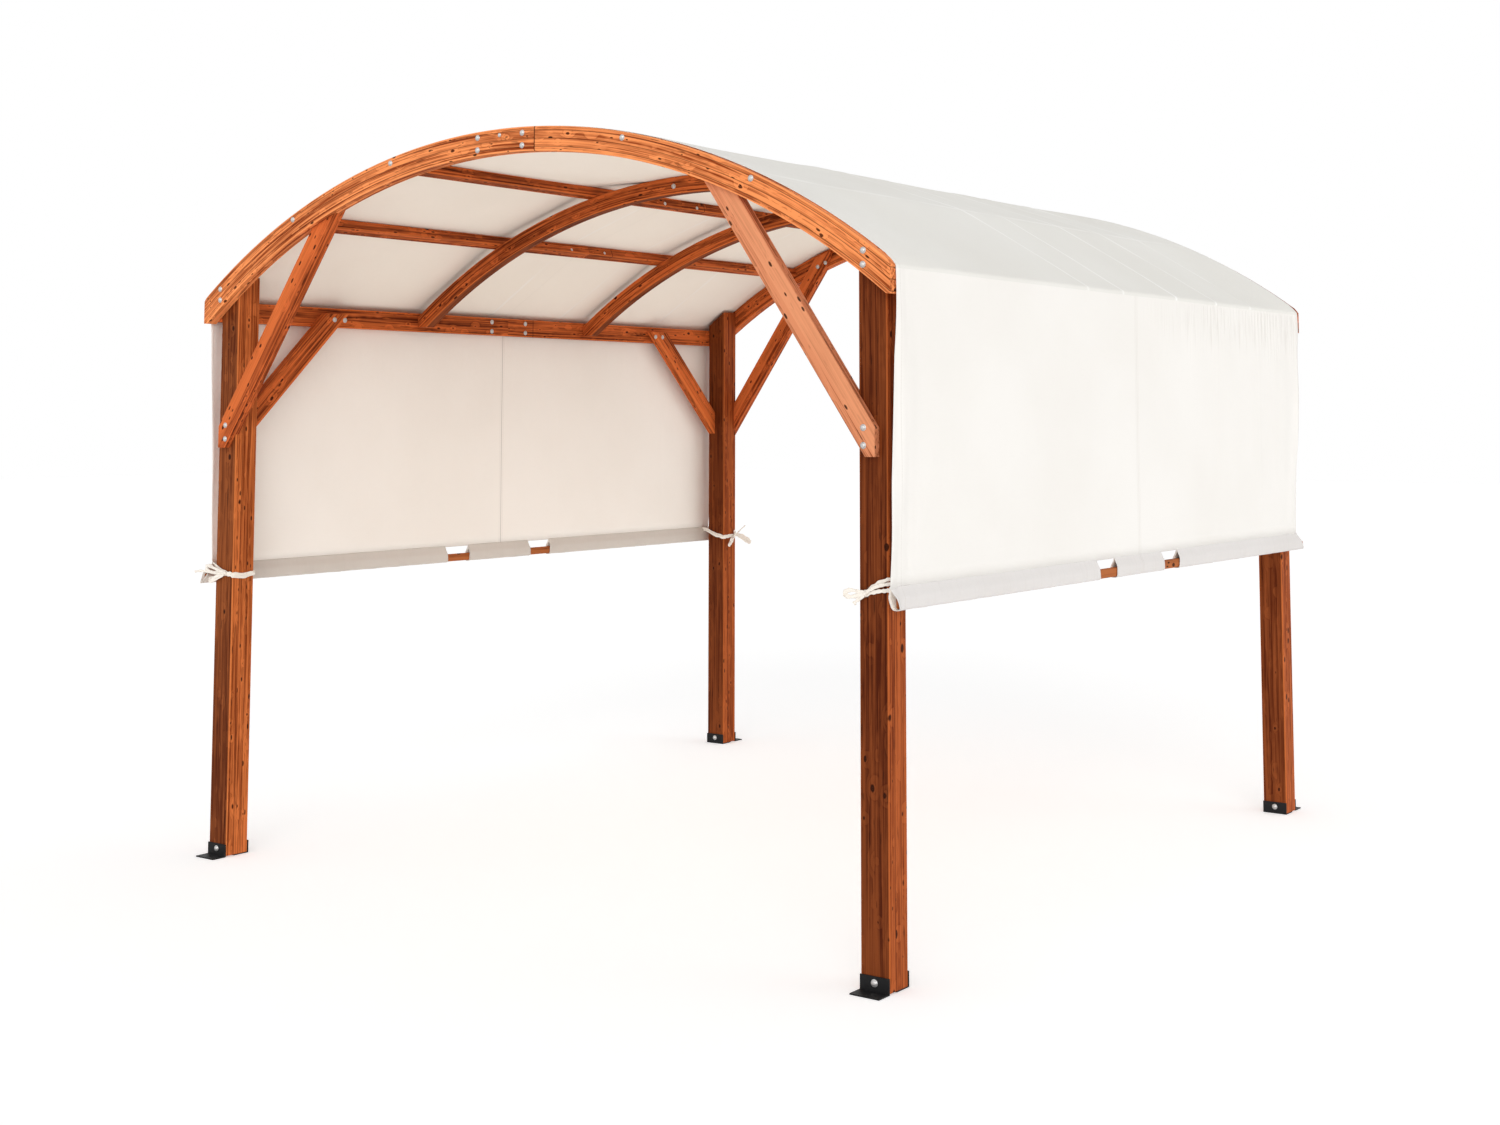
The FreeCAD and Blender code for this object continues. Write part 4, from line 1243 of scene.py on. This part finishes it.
# Places of the tape in metres: rounds on the post, then loose loops and tails, each with the way
# that it faces and its width
leftFrontTie = {
    "knot": (-1.396, -1.5255, 1.01),
    "strands": (
        ((-1.4985, -1.501, 1.055), (-1.47, -1.5215, 1.044), (-1.432, -1.5225, 1.024),
         (-1.398, -1.5225, 1.012), (-1.372, -1.5205, 1.009), (-1.3615, -1.513, 1.007),
         (-1.3605, -1.47, 1.004), (-1.3605, -1.43, 1.008), (-1.366, -1.4195, 1.009),
         (-1.411, -1.4193, 1.008), (-1.456, -1.42, 1.01), (-1.4985, -1.44, 1.01)),
        ((-1.4985, -1.522, 0.986), (-1.465, -1.526, 0.989), (-1.43, -1.5225, 0.998),
         (-1.398, -1.5222, 1.005), (-1.372, -1.5212, 1.002), (-1.3605, -1.5135, 0.999),
         (-1.3595, -1.47, 0.995), (-1.3597, -1.43, 1.001), (-1.3645, -1.4185, 1.004),
         (-1.411, -1.4183, 1.003), (-1.456, -1.419, 1.005), (-1.4985, -1.445, 1.0)),
    ),
    "loose": (
        ((0, -1, 0), 0.009,
         ((-1.398, -1.527, 1.01), (-1.43, -1.53, 1.013), (-1.47, -1.535, 1.01), (-1.51, -1.54, 1.013),
          (-1.546, -1.543, 1.009))),
        ((0, -1, 0), 0.01,
         ((-1.398, -1.527, 1.008), (-1.43, -1.534, 0.998), (-1.456, -1.538, 0.984),
          (-1.467, -1.538, 0.976), (-1.458, -1.537, 0.976), (-1.43, -1.532, 0.989), (-1.4, -1.5285, 1.005))),
        ((0, -1, 0), 0.012,
         ((-1.398, -1.527, 1.012), (-1.44, -1.533, 1.023), (-1.478, -1.5345, 1.034),
          (-1.492, -1.535, 1.028), (-1.484, -1.536, 1.016), (-1.445, -1.534, 1.009),
          (-1.402, -1.5285, 1.009))),
    ),
}
leftBackTie = {
    "knot": (-1.357, 1.51, 1.001),
    "strands": (
        ((-1.4985, 1.426, 1.031), (-1.476, 1.42, 1.029), (-1.456, 1.4195, 1.024), (-1.415, 1.4195, 1.009),
         (-1.374, 1.4195, 0.998), (-1.3625, 1.425, 0.996), (-1.3605, 1.445, 0.997),
         (-1.3605, 1.48, 0.999), (-1.3595, 1.508, 1.001), (-1.366, 1.5205, 1.002),
         (-1.411, 1.5207, 1.006), (-1.458, 1.5203, 1.012), (-1.4985, 1.508, 1.015)),
        ((-1.4985, 1.432, 1.02), (-1.47, 1.4187, 1.021), (-1.42, 1.4183, 1.002), (-1.374, 1.4183, 0.991),
         (-1.3605, 1.424, 0.99), (-1.3593, 1.445, 0.991), (-1.3593, 1.48, 0.995), (-1.3583, 1.506, 1.0)),
    ),
    "loose": (
        ((1, 0, 0), 0.012,
         ((-1.356, 1.509, 1.0), (-1.352, 1.488, 0.984), (-1.35, 1.466, 0.964), (-1.349, 1.453, 0.951),
          (-1.3485, 1.446, 0.955), (-1.349, 1.454, 0.971), (-1.351, 1.478, 0.99), (-1.355, 1.504, 1.001))),
        ((1, 0, 0), 0.008,
         ((-1.356, 1.509, 1.002), (-1.353, 1.503, 1.014), (-1.352, 1.497, 1.021), (-1.352, 1.491, 1.014),
          (-1.353, 1.497, 1.005), (-1.356, 1.507, 1.001))),
        ((0.8, -0.6, 0), 0.013,
         ((-1.356, 1.512, 1.0), (-1.338, 1.522, 0.99), (-1.315, 1.536, 0.972), (-1.3, 1.545, 0.961),
          (-1.294, 1.547, 0.968), (-1.306, 1.54, 0.982), (-1.332, 1.524, 0.997), (-1.354, 1.512, 1.002))),
        ((0.8, -0.6, 0), 0.006,
         ((-1.356, 1.511, 1.002), (-1.342, 1.514, 1.014), (-1.325, 1.521, 1.032), (-1.31, 1.528, 1.046))),
    ),
}
rightFrontTie = {
    "knot": (1.388, -1.527, 1.083),
    "strands": (
        ((1.4985, -1.562, 1.133), (1.484, -1.545, 1.131), (1.458, -1.529, 1.123), (1.432, -1.5235, 1.114),
         (1.408, -1.5228, 1.101), (1.39, -1.5225, 1.088), (1.372, -1.5218, 1.083),
         (1.3617, -1.514, 1.082), (1.3605, -1.47, 1.08), (1.3607, -1.43, 1.078), (1.366, -1.4195, 1.077),
         (1.411, -1.4193, 1.079), (1.456, -1.42, 1.083), (1.4985, -1.445, 1.09)),
        ((1.4985, -1.568, 1.102), (1.478, -1.548, 1.098), (1.452, -1.527, 1.094), (1.428, -1.5235, 1.091),
         (1.405, -1.523, 1.085), (1.386, -1.523, 1.079), (1.37, -1.522, 1.076), (1.3605, -1.515, 1.075),
         (1.3593, -1.47, 1.073), (1.3597, -1.43, 1.071), (1.3645, -1.4183, 1.07), (1.411, -1.4181, 1.072),
         (1.456, -1.419, 1.076), (1.4985, -1.45, 1.082)),
        ((1.4985, -1.566, 1.12), (1.472, -1.541, 1.114), (1.442, -1.5275, 1.109), (1.412, -1.5265, 1.099),
         (1.389, -1.5265, 1.085)),
    ),
    "loose": (
        ((0, -1, 0), 0.013,
         ((1.388, -1.529, 1.084), (1.368, -1.534, 1.089), (1.348, -1.538, 1.092), (1.334, -1.54, 1.088),
          (1.331, -1.54, 1.079), (1.344, -1.538, 1.073), (1.366, -1.533, 1.077), (1.387, -1.529, 1.081))),
        ((0, -1, 0), 0.011,
         ((1.387, -1.528, 1.081), (1.376, -1.532, 1.072), (1.365, -1.535, 1.062), (1.357, -1.537, 1.054))),
    ),
}


def smoothPath(points, steps=6):
    ends = [np.array(p, dtype=float) for p in (points[0], *points, points[-1])]
    path = []
    for i in range(1, len(ends) - 2):
        a, b, c, d = ends[i - 1:i + 3]
        for k in range(steps):
            t = k / steps
            path.append(0.5 * (2 * b + (c - a) * t + (2 * a - 5 * b + 4 * c - d) * t ** 2
                               + (3 * b - a - 3 * c + d) * t ** 3))
    path.append(ends[-2])
    return [Vector(p) for p in path]


def addTape(bm, path, outward, width, seed, free):
    rings = []
    count = len(path)
    sides = tieLooks["sides"]
    for i, place in enumerate(path):
        along = (path[min(i + 1, count - 1)] - path[max(i - 1, 0)]).normalized()
        facing = outward(place)
        across = along.cross(facing).normalized()
        facing = across.cross(along).normalized()
        twist = softNoise(i * 0.23, seed, 2.0) * tieLooks["twist"][free]
        across, facing = (across * math.cos(twist) + facing * math.sin(twist),
                          facing * math.cos(twist) - across * math.sin(twist))
        half = width / 2 * (1 + tieLooks["crumple"] * softNoise(i * 0.31, seed, 7.0))
        deep = tieLooks["thick"] / 2 * (0.75 + 0.5 * abs(softNoise(i * 0.45, seed, 9.0)))
        ring = []
        for k in range(sides):
            turn = 2 * math.pi * k / sides
            ripple = math.sin(3 * turn + 5 * softNoise(i * 0.12, seed, 4.0))
            fold = 1 + 0.30 * ripple * (0.4 + abs(math.cos(turn)))
            corner = place + across * half * math.cos(turn)
            ring.append(bm.verts.new(corner + facing * deep * math.sin(turn) * fold))
        rings.append(ring)
    for ring, following in zip(rings, rings[1:]):
        for k in range(sides):
            beside = (k + 1) % sides
            bm.faces.new((ring[k], ring[beside], following[beside], following[k]))
    bm.faces.new(rings[0][::-1])
    bm.faces.new(rings[-1])


def buildTie(shape, flip, lift):
    bm = bmesh.new()
    middle = Vector((math.copysign(frameSizes["postX"], shape["knot"][0]),
                     math.copysign(frameSizes["postY"], shape["knot"][1]), 0))

    def awayFromPost(place):
        away = Vector((place.x - middle.x, place.y - middle.y, 0))
        return Vector((away.x ** 3, away.y ** 3, 0)).normalized()

    for i, strand in enumerate(shape["strands"]):
        addTape(bm, smoothPath(strand), awayFromPost, tieLooks["width"], 3.0 + i * 5 + middle.y, False)
    for i, (facing, width, loose) in enumerate(shape["loose"]):
        addTape(bm, smoothPath(loose), lambda place: Vector(facing).normalized(), width,
                40.0 + i * 7 + middle.y, True)
    knot = Vector(shape["knot"])
    facing = awayFromPost(knot)
    beside = facing.cross(Vector((0, 0, 1)))
    wide, deep = tieLooks["knotRadius"]
    for i, lean in enumerate((0.5, -0.9, 1.5)):
        tilt = beside * math.cos(lean) + Vector((0, 0, 1)) * math.sin(lean)
        turn = [knot + tilt * wide * math.cos(a) + facing * deep * math.sin(a)
                for a in (math.pi * k / 6 - 0.3 for k in range(10))]
        addTape(bm, turn, lambda place: (place - knot).normalized() + tilt.cross(facing) * 0.01,
                tieLooks["knotWidth"], 70.0 + i + middle.y, False)
    sign = -1 if flip else 1
    for vertex in bm.verts:
        vertex.co = Vector((vertex.co.x * sign, vertex.co.y, vertex.co.z + lift))
    bmesh.ops.recalc_face_normals(bm, faces=bm.faces)
    for face in bm.faces:
        face.smooth = True
    mesh = bpy.data.meshes.new("cottonTie")
    bm.to_mesh(mesh)
    bm.free()
    return mesh


def tapeMaterial():
    material, tree, shader, do = newMaterial("cottonTape")
    place = objectPlace(tree)
    folds = do.noise(place, 130.0, 4.0)
    threads = do.noise(place, 1400.0)
    shade = do.ramp(folds, 0.52, 0.74, 0.0, 0.55)
    tree.links.new(do.mix(shade, tieLooks["tape"], tieLooks["shade"]), shader.inputs["Base Color"])
    shader.inputs["Roughness"].default_value = tieLooks["roughness"]
    shader.inputs["Specular IOR Level"].default_value = 0.15
    addBump(tree, shader, do.timesPlus(threads, 0.25, folds), 0.5, 0.0015)
    return material


cottonTape = tapeMaterial()
for nodeName, shape, flip, lift in (
        ("tie_front_left", leftFrontTie, False, 0.0), ("tie_back_left", leftBackTie, False, 0.0),
        ("tie_front_right", rightFrontTie, False, 0.0),
        ("tie_back_right", leftBackTie, True, tieLooks["rightLift"])):
    tie = addObject("cotton_" + nodeName, buildTie(shape, flip, lift))
    tie.data.materials.append(cottonTape)
    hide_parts(nodeName)
    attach(tie, "root")
print("cotton ties")


# Stage: white floor and backdrop, soft light from the right
stageLooks = {
    "skyLow": 0.82,
    "skyHigh": 0.60,
    "floor": 0.88,
    "floorGlow": 0.35,
    "floorHalf": 40,
    "floorDrop": 0.0005,
    # name, strength, spread, turn and height in degrees
    "lamps": (
        ("keyLamp", 0.50, 35, 36, 24),
        ("fillLamp", 0.70, 50, 26, 9),
        ("backLamp", 0.34, 40, 113, 16),
    ),
}


# The camera sees a plain white backdrop, and the sky lights the object by its height
def addSky():
    world = bpy.data.worlds.new("studio")
    scene.world = world
    world.use_nodes = True
    tree = world.node_tree
    tree.nodes.clear()
    do = sumsFor(tree)
    worldOut = addNode(tree, "ShaderNodeOutputWorld", (600, 0))
    background = addNode(tree, "ShaderNodeBackground", (300, 0))
    background.inputs["Color"].default_value = (1, 1, 1, 1)
    path = addNode(tree, "ShaderNodeLightPath", (-400, 0)).outputs
    seen = do.most(path["Is Camera Ray"], do.most(path["Is Glossy Ray"], path["Is Transmission Ray"]))
    way = do.separate(addNode(tree, "ShaderNodeTexCoord", (-900, 0)).outputs["Generated"])
    sky = do.ramp(way[2], 0.0, 0.9, stageLooks["skyLow"], stageLooks["skyHigh"])
    tree.links.new(do.plus(do.times(sky, do.minus(1.0, seen)), seen), background.inputs["Strength"])
    tree.links.new(background.outputs[0], worldOut.inputs[0])


def addFloor():
    half, z = stageLooks["floorHalf"], -stageLooks["floorDrop"]
    mesh = bpy.data.meshes.new("studioFloor")
    corners = [(-half, -half, z), (half, -half, z), (half, half, z), (-half, half, z)]
    mesh.from_pydata(corners, [], [(0, 1, 2, 3)])
    paint, tree, shader, do = newMaterial("studioFloorPaint")
    shader.inputs["Base Color"].default_value = (*(stageLooks["floor"],) * 3, 1)
    shader.inputs["Roughness"].default_value = 1.0
    shader.inputs["Specular IOR Level"].default_value = 0.0
    shader.inputs["Emission Color"].default_value = (1, 1, 1, 1)
    path = addNode(tree, "ShaderNodeLightPath", (200, -500)).outputs
    lit = do.most(path["Is Camera Ray"], path["Is Diffuse Ray"])
    tree.links.new(do.times(lit, stageLooks["floorGlow"]), shader.inputs["Emission Strength"])
    mesh.materials.append(paint)
    addObject("studioFloor", mesh)


addSky()
addFloor()
for lampName, power, spread, turn, height in stageLooks["lamps"]:
    lampData = bpy.data.lights.new(lampName, "SUN")
    lampData.energy = power
    lampData.angle = math.radians(spread)
    lampObject = addObject(lampName, lampData)
    lampObject.rotation_euler = (math.radians(90 - height), 0, math.radians(turn))
print("stage set")
